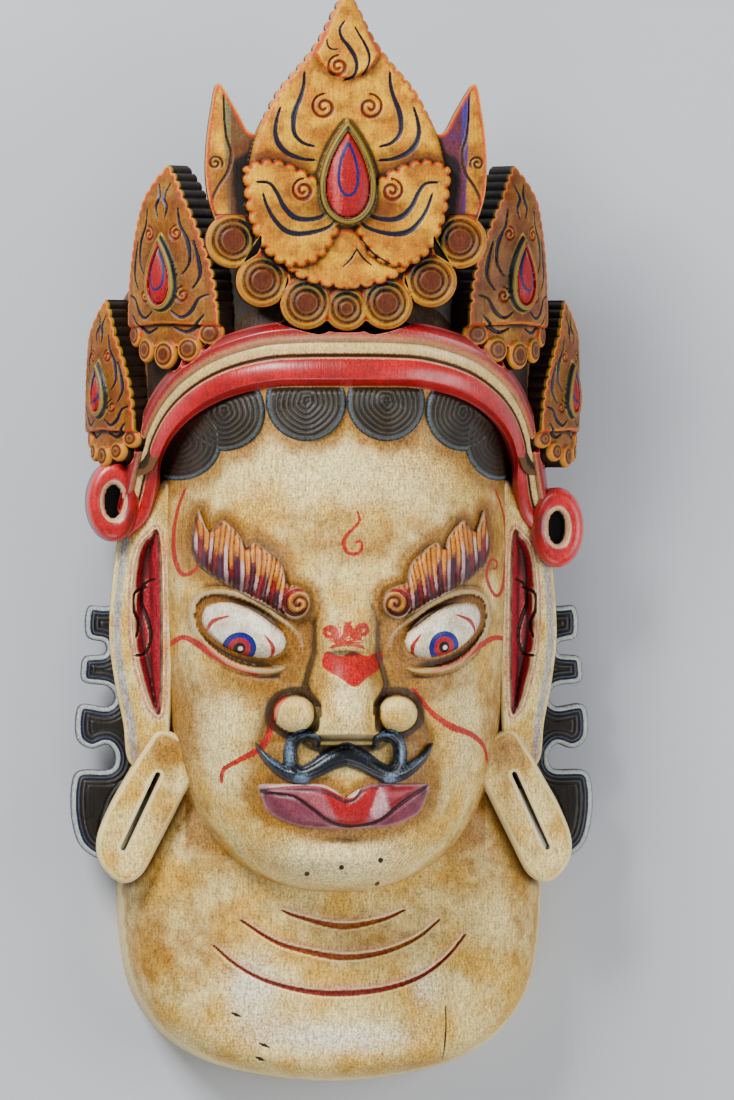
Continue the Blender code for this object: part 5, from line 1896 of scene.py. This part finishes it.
@dataclass
class Board:
    """Where a crown board stands: yaw in degrees, and the middle of its flat back in x and z."""

    yaw: float
    middle: float
    back: float

    def place(self, u: Array, v: Array, height: Array) -> Array:
        """Takes the board's (u, v, height over its back) to metres in the frame."""
        turn = math.radians(self.yaw)
        u, height = np.asarray(u, float), np.asarray(height, float)
        x = self.middle + u * math.cos(turn) + height * math.sin(turn)
        z = self.back + height * math.cos(turn) - u * math.sin(turn)
        return on_sheet(x, v, z)

    def seat(self, outline: Array) -> bpy.types.Object:
        """The pocket that lets the board into the head, one gap behind its back.

        Args:
            outline: The board's outline on its own sheet.

        Returns:
            The cutting tool.
        """
        middle = outline.mean(axis=0)
        reach = np.hypot(*(outline - middle).T)
        wide = np.maximum.reduce([np.roll(reach, k) for k in range(-5, 6)])
        hull = middle + (outline - middle) * ((wide + 1.5) / reach)[:, None]
        bm = bmesh.new()
        loop = [bm.verts.new((x, y, 0)) for x, y in hull[::2]]
        bm.faces.new(loop)
        made = bmesh.ops.extrude_face_region(bm, geom=bm.faces[:])["geom"]
        lower = {item for item in made if isinstance(item, bmesh.types.BMVert)}
        for vert in bm.verts:
            vert.co = self.place(vert.co.x, vert.co.y, -0.3 if vert in lower else 120.0)
        return to_object("seat", bm)


def gem_outline(middle: float, half_height: float, half_width: float) -> Array:
    """A teardrop with its point up."""
    turn = np.linspace(0, np.pi, 28)
    x = half_width * np.sin(turn) * np.sin(turn / 2) ** 0.8 * 1.16
    return both_sides(np.stack([x, middle + half_height * np.cos(turn)], axis=-1))


def lobed(lobes: Sequence[tuple[float, float, float]], start: Point, end: Point) -> Array:
    """The lower edge of a row of round lobes, from the outermost to the middle.

    Args:
        lobes: Each lobe's centre and radius.
        start: Where the edge starts, at the outermost lobe.
        end: Where it ends, on the middle line.

    Returns:
        The edge's points, without the parts that lie inside another lobe.
    """
    points = [start]
    for i, (cx, cy, r) in enumerate(lobes):
        turn = np.radians(np.arange(40, -200, -8))
        arc = np.stack([cx + r * np.cos(turn), cy + r * np.sin(turn)], axis=-1)
        for point in arc:
            others = [
                np.hypot(*(point - (x, y))) > radius for k, (x, y, radius) in enumerate(lobes) if k != i
            ]
            if all(others) and point[0] >= end[0] + 0.3 and point[1] < start[1]:
                points.append(tuple(point))
    return np.array([*points, end])


def gem_rise(rise: Array, u: Array, v: Array, outline: Array, height: float) -> Array:
    """Sets a raised, rimmed stone into a relief."""
    edge = distance_to(u, v, outline, True)
    stone = height * dome(edge / 3) - 3 * step((edge - 5) / 1.4) + 5 * dome((edge - 6.2) / 12)
    return np.where(edge > 0, np.maximum(rise, stone), rise)


@dataclass
class CentreLeaf:
    """The tall middle board: cloud lobes, two wings, a pointed leaf and a gem."""

    board: Board
    thickness: float = 14.0
    pitch: float = 0.9
    gem: tuple[float, float, float] = (666.0, 39.0, 23.5)
    plate_edge: tuple[Point, ...] = (
        (66, 694), (72, 697), (80, 712), (93, 731), (98, 712), (101, 690), (102, 668), (100, 648), (95, 632),
    )  # fmt: skip
    clouds: tuple[tuple[float, float, float], ...] = (
        (82, 617, 20), (61, 588, 19), (29, 572, 19), (0, 568, 16),
    )  # fmt: skip
    upper: tuple[Point, ...] = (
        (0, 800), (9, 786), (19, 766), (30, 750), (50, 726), (61, 705), (69, 682), (73, 660), (70, 632),
    )  # fmt: skip
    wing: tuple[Point, ...] = (
        (2, 645), (3, 632), (8, 618), (18, 604), (30, 598), (43, 597), (56, 604), (66, 617), (72, 634),
        (75, 655), (74, 671), (52, 676), (24, 664),
    )  # fmt: skip
    lower: tuple[Point, ...] = ((0, 581), (20, 584), (38, 591), (46, 600), (36, 616), (0, 626))
    tip: tuple[Point, ...] = (
        (0, 799), (9, 785), (17, 766), (22, 756), (24, 752), (18, 742), (8, 735), (0, 733),
    )  # fmt: skip

    def outline(self) -> Array:
        """The board's outline, scalloped on its leaf and lobed below."""
        upper = rounded(self.upper[:6], False, 6)
        plate = rounded(self.plate_edge, False, 4)
        foot = (0, self.clouds[-1][1] - self.clouds[-1][2])
        lower = lobed(self.clouds, tuple(plate[-1]), foot)
        return both_sides(np.concatenate([scalloped(upper, 9.0, 2.2), plate, lower[1:]]))

    def strokes(self) -> list[Stroke]:
        """The blue-black strokes that are cut and painted on the leaf."""
        both = (
            ((65, 659), (56.5, 658), (51, 651), (46, 641), (39, 634), (30, 632), (19, 634), (12, 641),
             (10, 648)),
            ((61, 650), (58, 641), (53, 632), (45, 624), (35.5, 621.6), (24, 623), (13, 627), (7, 634)),
            ((31, 738), (31.5, 729), (34, 720), (37.5, 711), (39, 703), (38, 694), (32, 687.5), (24, 685)),
            ((48.5, 712.5), (51, 704), (52, 695), (49.5, 686.5), (43, 680), (33, 676), (23.5, 675)),
        )  # fmt: skip
        drawn = [brushed(line, 0.9, 2.1, 0.9) for line in both]
        drawn += [Stroke(stroke.line * (-1, 1), stroke.widths) for stroke in drawn]
        drawn += [
            brushed(
                ((-2.4, 774.8), (-5.6, 769.4), (-4, 763), (0.3, 757.6), (5.1, 750), (6.7, 742.6),
                 (4.6, 736), (-1.9, 733)), 0.7, 1.7, 0.8,
            ),
            brushed(
                ((5.6, 770.5), (8.9, 765), (13.2, 757.6), (15.9, 750), (14.8, 742.6), (11, 737)),
                0.6, 1.1, 0.6,
            ),
            brushed(((-14.8, 762), (-14.2, 757.6), (-11.5, 755), (-7.2, 755)), 0.4, 0.8, 0.4),
            brushed(((9, 620), (18, 608), (31, 600)), 0.4, 0.9, 0.4),
            brushed(((-3, 598), (3, 604), (7, 611)), 0.4, 0.8, 0.4),
            brushed(((7, 611), (12, 604), (18, 599)), 0.4, 0.8, 0.4),
        ]  # fmt: skip
        return drawn

    @staticmethod
    def plate_lines() -> list[Stroke]:
        """The groove and the scroll on each plate behind the leaf."""
        line = ((89, 722), (88.5, 706), (87, 692), (83.7, 680), (86, 667), (93, 656), (97.5, 645), (95, 635))
        scroll = spiral((95, 673), 5.5, 1.0, 1.4, 200, -1)
        drawn = [brushed(line, 0.6, 1.2, 1.0), Stroke(scroll, (0.7, 1.0, 0.8))]
        return drawn + [Stroke(stroke.line * (-1, 1), stroke.widths) for stroke in drawn]

    def scrolls(self) -> list[Stroke]:
        """The red-brown scrolls."""
        eyes = (
            (-6.7, 742.6, 8.0, 1), (-16.6, 713.5, 9.5, 1), (16.6, 713.5, 9.5, -1), (-32, 653, 8.5, 1),
            (32, 653, 8.5, -1),
        )  # fmt: skip
        return [Stroke(spiral((x, y), r, 1.5, 1.6, 90, way), (0.8, 1.5, 1.2)) for x, y, r, way in eyes]

    def layers(self) -> list[tuple[Array, float, float]]:
        """Outline, height and rounding of each layer of the relief, from the lowest up."""
        lower = rounded(self.lower[:4], False, 6)
        lower = scalloped(lower[::-1], 11, 2.4)[::-1]
        lower = both_sides(np.concatenate([lower, np.array(self.lower[4:], float)]))
        ogive = both_sides(rounded(((0, 801), *self.upper[1:], (60, 616), (0, 606)), False, 4))
        wing = rounded(self.wing, True, 6)
        edge = scalloped(wing[::-1], 9.5, 2.2)
        return [
            (ogive, 11.0, 6.0),
            (lower, 10.0, 3.0),
            (both_sides(rounded(self.tip, False, 5)), 15.0, 5.0),
            (edge, 16.0, 5.0),
            (edge * (-1, 1), 16.0, 5.0),
        ]

    def build(self) -> None:
        """Carves and paints the board."""
        outline = self.outline()
        layers = self.layers()
        strokes, scrolls = self.strokes(), self.scrolls()
        gem = gem_outline(*self.gem)

        def top(u: Array, v: Array) -> Array:
            """The board's whole relief, from its flat back."""
            side = np.abs(u)
            rise = 4 * dome((104 - side) / 30)
            for cx, cy, r in self.clouds:
                depth = r - np.hypot(side - cx, v - cy)
                ring = 1.0 - 0.9 * bump(depth, 5.2, 1.0) - 0.9 * bump(depth, 10, 1.0)
                rise = np.maximum(rise, 5 * dome(depth / 4) + 2 * ring * (depth > 0))
            for edge, height, rounding in layers:
                rise = np.maximum(rise, height * dome(near(u, v, edge, True, 2) / rounding, 3))
            cutting = np.maximum(groove(u, v, strokes, 1.5), groove(u, v, scrolls, 1.8))
            cutting = np.maximum(cutting, groove(u, v, self.plate_lines(), 1.3) * (side > 74))
            return self.thickness + gem_rise(rise - cutting, u, v, gem, 22)

        obj = block("crown_leaf_middle", outline, top, 0.0, self.pitch, (), self.board.place)
        u, v = sheet(obj)
        side = np.abs(u)
        mark(obj, "ink", strokes)
        mark(obj, "scroll", scrolls)
        over = np.full(len(u), -FAR)
        edge = distance_to(u, v, outline, True)
        scallop = np.where(v > 700, edge, FAR)
        for line, _, _ in layers[1:]:
            away = near(u, v, line, True, 16)
            scallop = np.where(away > 0, away, scallop)
            over = np.maximum(over, away)
        bare = over <= 0
        on_cloud = (near(u, v, layers[0][0], True, 2) < 0) & bare
        cloud = np.max([r - np.hypot(side - cx, v - cy) for cx, cy, r in self.clouds], axis=0)
        plate = on_cloud & (v > 636)
        walls = read(obj, "sunk") > 0.5
        store(obj, "cloud", np.where(on_cloud & ~plate & ~walls, cloud, FAR))
        store(obj, "ground", np.where(on_cloud & ~plate, np.minimum(1 - cloud, 3.0), -FAR))
        inner_plate = np.where(plate, 86 + 0.045 * (v - 636) - side, -FAR)
        store(obj, "plate_left", np.where(u < 0, inner_plate, -FAR))
        store(obj, "plate_right", np.where(u > 0, inner_plate, -FAR))
        mark(obj, "groove", self.plate_lines())
        scallop = np.where(plate, np.minimum(edge, scallop), scallop)
        store(obj, "scallop", np.where(walls, FAR, scallop))
        stone = distance_to(u, v, gem, True)
        store(obj, "stone", stone)
        store(obj, "glaze", np.minimum(stone - 6.5, 3 - np.abs(u + 8)))
        inner = gem_outline(668.0, 19.0, 7.5)
        mark(obj, "tear", [Stroke(np.concatenate([inner, inner[:1]]), (1.1, 1.1, 1.1))])
        # Darker over the lobes and the inner plates; painted shadow beside the gem, under the wings' upper
        # edges and beside every raised layer.
        grime_and_shade = 0.25 + 0.4 * (on_cloud & ~plate) + 0.5 * hill(side, v, 20, 640, 24, 18)
        grime_and_shade += 0.55 * hill(side, v, 46, 676, 30, 8) + 0.4 * hill(side, v, 100, 660, 10, 30)
        grime_and_shade += (0.5 + 1.3 * on_cloud) * outside(over, 4 + 3 * on_cloud) * bare
        store(obj, "grime_and_shade", grime_and_shade + 0.5 * (plate & (side < 84)))
        # Orpiment yellow over red bole: warm, half-matt, orange at the scallops, black in the cuts, with
        # painted shadow beside the raised layers
        finish = PaintedWood(
            name="ochre_gilt_crown_leaf",
            coats=(
                Coat("ground", "#1A120C", soft=0.6),
                Coat("plate_left", "#5C6444", soft=1.2, wobble=5.0, strength=0.9),
                Coat("plate_right", "#0C1480", soft=1.0, wobble=3.0, strength=0.95),
                Coat("groove", "#22160C", Paint.STROKE, soft=0.4),
                Coat("cloud", "#5C3810", bounds=(7.0, 90.0), soft=1.2, wobble=3.0, strength=0.9),
                Coat("cloud", "#140A04", bounds=(5.4, 7.6), soft=0.8, wobble=1.6),
                Coat("cloud", "#3A150C", bounds=(10.6, 90.0), soft=1.4, wobble=3.0, strength=0.9),
                Coat("cloud", "#B43A08", bounds=(-1.0, 1.6), soft=0.7, strength=0.85, wobble=1.6, fresh=True),
                Coat(
                    "scallop", "#BE3206", bounds=(-1.0, 2.6), soft=1.0, strength=0.85, wobble=2.4, fresh=True
                ),
                Coat("scroll", "#84180C", Paint.STROKE, strength=0.92, fresh=True),
                Coat("ink", "#06082C", Paint.STROKE, soft=0.25, wobble=0.3, fresh=True),
                Coat("stone", "#C9A24A", bounds=(-0.6, 0.9), soft=0.4, fresh=True),
                Coat("stone", "#061A20", bounds=(1.0, 5.6), soft=0.4, wobble=0.8, fresh=True),
                Coat("stone", "#98060C", bounds=(5.8, 99.0), soft=0.4, fresh=True),
                Coat("glaze", "#D8605A", bounds=(0.0, 99.0), soft=1.6, wobble=5.0, strength=0.4, fresh=True),
                Coat("tear", "#0C1258", Paint.STROKE, fresh=True),
            ),
            cloud=26,
            streak=0.35,
            speck=0.35,
            dirt=(0.15, 1.3),
            wear=(0.1, 0.55),
            wear_strength=0.26,
            **GOLD,
        )
        present(obj, "crown_leaf_centre", finish)


@dataclass
class SideLeaf:
    """One of the four lesser boards of the crown."""

    name: str
    node: str
    board: Board
    half: float
    foot: float
    tip: float
    bulge: float
    gem: tuple[float, float, float]
    thickness: float = 11.0
    pitch: float = 0.9
    shape: tuple[Point, ...] = ((0, 1.0), (0.24, 0.93), (0.52, 0.80), (0.78, 0.62), (0.95, 0.44), (1.0, 0.28))
    knobs: tuple[tuple[float, float, float], ...] = ((0.84, 0.17, 0.2), (0.48, 0.095, 0.21), (0, 0.1, 0.24))

    def outline(self) -> tuple[Array, list[tuple[float, float, float]]]:
        """The board's outline and its lobes."""
        tall = self.tip - self.foot
        upper = rounded([(u * self.half, self.foot + v * tall) for u, v in self.shape], False, 5)
        lobes = [(u * self.half, self.foot + v * tall, r * self.half) for u, v, r in self.knobs]
        lobes[-1] = (0, lobes[-1][2] + self.foot, lobes[-1][2])
        lower = lobed(lobes, tuple(upper[-1]), (0, self.foot))
        return both_sides(np.concatenate([scalloped(upper, 8.0, 1.9), lower[1:]])), lobes

    def strokes(self) -> tuple[list[Stroke], list[Stroke]]:
        """The blue-black strokes and the red-brown scrolls, drawn as shares of the board."""
        half, tall = self.half, self.tip - self.foot
        drawn = (
            ((0.12, 0.9), (0.05, 0.84), (0.12, 0.79), (0.08, 0.74)),
            ((0.34, 0.78), (0.38, 0.7), (0.52, 0.62), (0.55, 0.52), (0.42, 0.46)),
            ((0.62, 0.62), (0.7, 0.53), (0.72, 0.45), (0.6, 0.39)),
            ((0.85, 0.36), (0.7, 0.34), (0.58, 0.28), (0.4, 0.25), (0.22, 0.28)),
            ((0.78, 0.26), (0.62, 0.21), (0.42, 0.18), (0.2, 0.2)),
        )
        ink, scrolls = [], []
        for side in Side:
            for line in drawn:
                points = [(side.value * u * half, self.foot + v * tall) for u, v in line]
                ink.append(brushed(points, 0.7, 1.6, 0.7))
            for u, v, r in ((0.3, 0.66, 0.13), (0.42, 0.36, 0.14)):
                centre = (side.value * u * half, self.foot + v * tall)
                line = spiral(centre, r * half, 1.2, 1.4, 90, side.value)
                scrolls.append(Stroke(line, (0.6, 1.1, 0.9)))
        return ink, scrolls

    def build(self) -> None:
        """Carves and paints the board."""
        outline, lobes = self.outline()
        ink, scrolls = self.strokes()
        gem = gem_outline(*self.gem)
        tall = self.tip - self.foot

        def top(u: Array, v: Array) -> Array:
            """The board's whole relief, from its flat back."""
            convex = self.bulge * np.clip(1 - (u / self.half) ** 2, 0, 1)
            convex *= np.clip((self.tip + 14 - v) / 40, 0.3, 1)
            body = 5 * dome((v - self.foot - 0.22 * tall + 0.05 * np.abs(u)) / 5, 3)
            knobs = np.zeros(np.shape(u))
            for cx, cy, r in lobes:
                depth = r - np.hypot(np.abs(u) - cx, v - cy)
                knobs = np.maximum(knobs, 3 * dome(depth / 4) - 0.8 * bump(depth, 3.4, 0.8))
            cutting = np.maximum(groove(u, v, ink, 1.3), groove(u, v, scrolls, 1.4))
            rise = convex + np.maximum(body, knobs) - cutting
            return self.thickness + gem_rise(rise, u, v, gem, self.bulge + 9)

        obj = block(self.name, outline, top, 0.0, self.pitch, (), self.board.place)
        u, v = sheet(obj)
        mark(obj, "ink", ink)
        mark(obj, "scroll", scrolls)
        line = self.foot + 0.22 * tall - 0.05 * np.abs(u)
        edge = np.minimum(distance_to(u, v, outline, True), np.where(v > line, v - line, FAR))
        store(obj, "scallop", np.where(read(obj, "sunk") > 0.5, FAR, edge))
        cloud = np.max([r - np.hypot(np.abs(u) - cx, v - cy) for cx, cy, r in lobes], axis=0)
        store(obj, "cloud", np.where(v < line, cloud, FAR))
        stone = distance_to(u, v, gem, True)
        store(obj, "stone", stone)
        middle, tall_gem, wide = self.gem
        inner = gem_outline(middle + 2, tall_gem * 0.5, wide * 0.4)
        mark(obj, "tear", [Stroke(np.concatenate([inner, inner[:1]]), (0.9, 0.9, 0.9))])
        # Darker all over and towards the outer edges, with painted shade round the raised stone.
        store(obj, "grime_and_shade", 0.72 + 0.3 * (np.abs(u) > 0.8 * self.half) + 0.5 * bump(stone, -3, 4))
        # The middle board's yellow, darker all over, with painted shade round the stone
        finish = PaintedWood(
            name=f"ochre_gilt_{self.name}",
            coats=(
                Coat("cloud", "#140A04", bounds=(2.6, 4.2), soft=0.4, wobble=0.6),
                Coat("cloud", "#3C140C", bounds=(6.0, 90.0), soft=0.6, wobble=0.6),
                Coat(
                    "scallop", "#BE3206", bounds=(-1.0, 2.2), soft=0.9, strength=0.85, wobble=2.0, fresh=True
                ),
                Coat("scroll", "#84180C", Paint.STROKE, strength=0.92, fresh=True),
                Coat("ink", "#06082C", Paint.STROKE, soft=0.25, wobble=0.3, fresh=True),
                Coat("stone", "#B98A26", bounds=(-0.6, 0.8), soft=0.4, fresh=True),
                Coat("stone", "#061A28", bounds=(0.9, 4.2), soft=0.4, wobble=0.6, fresh=True),
                Coat("stone", "#98060C", bounds=(4.4, 99.0), soft=0.4, fresh=True),
                Coat("tear", "#0C1258", Paint.STROKE, fresh=True),
            ),
            cloud=22,
            streak=0.35,
            speck=0.35,
            dirt=(0.15, 1.2),
            wear=(0.1, 0.5),
            wear_strength=0.26,
            **GOLD,
        )
        present(obj, self.node, finish)


@dataclass
class ScrollBoards:
    """The two fretted boards that stand out behind the ears."""

    back: float = 31.0
    thickness: float = 18.0
    cuts: tuple[Point, ...] = ((7.2, 0.9), (10.6, 0.9), (4.1, 1.0))  # inwards from the edge, and depth
    drawn: tuple[Point, ...] = (
        (122, 352), (166, 352), (180, 351), (181, 330), (168, 325), (168, 317), (182, 315), (185, 306),
        (183, 296), (166, 293), (160, 285), (166, 278), (184, 280), (189, 271), (188, 254), (178, 247),
        (166, 250), (160, 242), (164, 232), (186, 231), (192, 220), (192, 196), (186, 176), (172, 166),
        (164, 172), (160, 196), (150, 215), (122, 232),
    )  # fmt: skip

    def seat(self, side: Side) -> bpy.types.Object:
        """The pocket in the head for one board's root."""
        outline = grown(mirrored(rounded(self.drawn, True, 2), side), 1.5)
        high = self.back + self.thickness + 0.3
        return block("scroll_seat", outline, lambda x, y: np.full(np.shape(x), high), self.back - 0.3, 12)

    def build(self) -> None:
        """Carves and paints both boards."""
        # Indigo over soot black, dull, with a chalk-blue line brushed along the edge
        finish = PaintedWood(
            name="blue_black_scroll_paint",
            shades=("#17120D", "#241D14"),
            grime_and_shade="#0D0A07",
            rubbed="#6E7684",
            coats=(
                Coat("edge", "#061238", bounds=(-9.0, 6.0), soft=0.8, wobble=2.0),
                Coat("edge", "#D2DAC8", bounds=(0.6, 3.4), soft=0.5, wobble=1.2, strength=0.92, fresh=True),
                Coat("edge", "#0E0A08", bounds=(-9.0, -0.2), soft=0.3, wobble=0.2),
            ),
            cloud=24,
            dirt=(0.1, 0.9),
            wear=(0.08, 0.4),
            wear_strength=0.5,
            streak=0.5,
        )
        for side in Side:
            outline = mirrored(rounded(self.drawn, True, 6), side)

            def top(x: Array, y: Array) -> Array:
                """A flat board, rounded at its edge, with lines cut along the edge."""
                edge = distance_to(x, y, outline, True)
                cuts = sum(depth * bump(edge, place, 0.7) for place, depth in self.cuts)
                return self.back + self.thickness - 2.5 + 2.5 * dome(edge / 3) - cuts

            obj = block(f"scroll_board_{side.word}", outline, top, self.back, 0.9)
            x, y = sheet(obj)
            store(obj, "edge", distance_to(x, y, outline, True))
            store(obj, "grime_and_shade", 0.3 + 0 * x)
            present(obj, f"side_scroll_{side.word}", finish)


@dataclass
class Studio:
    """A pale floor, soft lamps and the camera, which looks down on the mask a little from its left."""

    aim: Vector
    view: Vector
    distance: float = 8.0
    frame_height: float = 0.8059
    sensor: float = 24.0

    def build(self) -> None:
        """Sets the floor, the lamps, the surroundings and the camera."""
        bm = bmesh.new()
        bmesh.ops.create_grid(bm, x_segments=1, y_segments=1, size=6.0)
        floor = to_object("floor", bm)
        paper = bpy.data.materials.new("pale_grey_paper")
        paper.use_nodes = True
        shader = paper.node_tree.nodes["Principled BSDF"]
        shader.inputs["Base Color"].default_value = linear("#B9BCC2")
        shader.inputs["Roughness"].default_value = 0.9
        floor.data.materials.append(paper)
        self.lamp("key", (-1.0, 1.15, 1.35), 0.7, 66.0)
        self.lamp("fill", (1.4, -0.1, 1.2), 1.2, 28.0)
        self.lamp("front", (-0.3, -1.5, 1.3), 1.2, 15.0)
        world = bpy.data.worlds.new("studio")
        world.use_nodes = True
        sky = world.node_tree.nodes["Background"]
        sky.inputs["Color"].default_value = linear("#DDE0E4")
        sky.inputs["Strength"].default_value = 0.3
        bpy.context.scene.world = world
        camera = bpy.data.cameras.new("camera")
        camera.sensor_fit = "VERTICAL"
        camera.sensor_height = self.sensor
        camera.lens = self.sensor * self.distance / self.frame_height
        camera.clip_end = 50
        holder = bpy.data.objects.new("camera", camera)
        bpy.context.scene.collection.objects.link(holder)
        back = -self.view.normalized()
        up = (Vector((0, 1, 0)) - back * back.y).normalized()
        across = up.cross(back)
        turn = Matrix((across, up, back)).transposed()
        holder.matrix_world = Matrix.Translation(self.aim + back * self.distance) @ turn.to_4x4()
        bpy.context.scene.camera = holder

    def lamp(self, name: str, place: tuple[float, float, float], size: float, power: float) -> None:
        """Hangs a soft square lamp that points at the mask.

        Args:
            name: The lamp's name.
            place: Where it hangs, in metres.
            size: Its width in metres.
            power: Its power in watts.
        """
        light = bpy.data.lights.new(name, "AREA")
        light.size = size
        light.energy = power
        holder = bpy.data.objects.new(name, light)
        bpy.context.scene.collection.objects.link(holder)
        heading = Vector((0, 0, 0.1)) - Vector(place)
        turn = heading.to_track_quat("-Z", "Y").to_matrix().to_4x4()
        holder.matrix_world = Matrix.Translation(place) @ turn


def main() -> None:
    """Builds the mask piece by piece round the frame, and the studio."""
    logging.basicConfig(level=logging.INFO, format="%(message)s")
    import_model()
    wood = BareWood().dress()
    head, ears, crown, scrolls = Head(), Ears(), CrownBlock(), ScrollBoards()
    neck = Neck(ears.lobe)
    centre = CentreLeaf(Board(0, 0, 186))
    inner = {"half": 44, "foot": 525, "tip": 674, "bulge": 13, "gem": (595, 29, 17)}
    outer = {"half": 35, "foot": 454, "tip": 577, "bulge": 9, "gem": (511, 22, 13)}
    leaves = []
    for word, sizes, yaw, middle, back in (("inner", inner, 45, 111.5, 134), ("outer", outer, 62, 152, 74)):
        for side in Side:
            board = Board(side.value * yaw, side.value * middle, back)
            name = f"{word}_{side.word}"
            leaves.append(SideLeaf(f"crown_leaf_of_{name}", f"crown_leaf_{name}", board, **sizes))
    cutters = [head.form("face_hollow", 40, 40, WALL), neck.hollow(), crown.hollow(), sawn_back()]
    cutters += [centre.board.seat(centre.outline())] + [leaf.board.seat(leaf.outline()[0]) for leaf in leaves]
    cutters += [scrolls.seat(side) for side in Side]
    Face(head).build(wood, cutters)
    neck.build(wood, cutters)
    crown.build(wood, cutters)
    headband = Headband()
    headband.build(wood, cutters)
    for cutter in cutters:
        bpy.data.objects.remove(cutter)
    Eyes(head).build()
    Brows(head).build()
    Mouth(head).build()
    Moustache(head).build()
    Hair(head, headband.edges).build()
    ears.build()
    centre.build()
    for leaf in leaves:
        leaf.build()
    scrolls.build()
    Studio(Vector((0.022, -0.0066, 0.1)), Vector((0.159, 0, -2.3))).build()


if __name__ == "__main__":
    main()
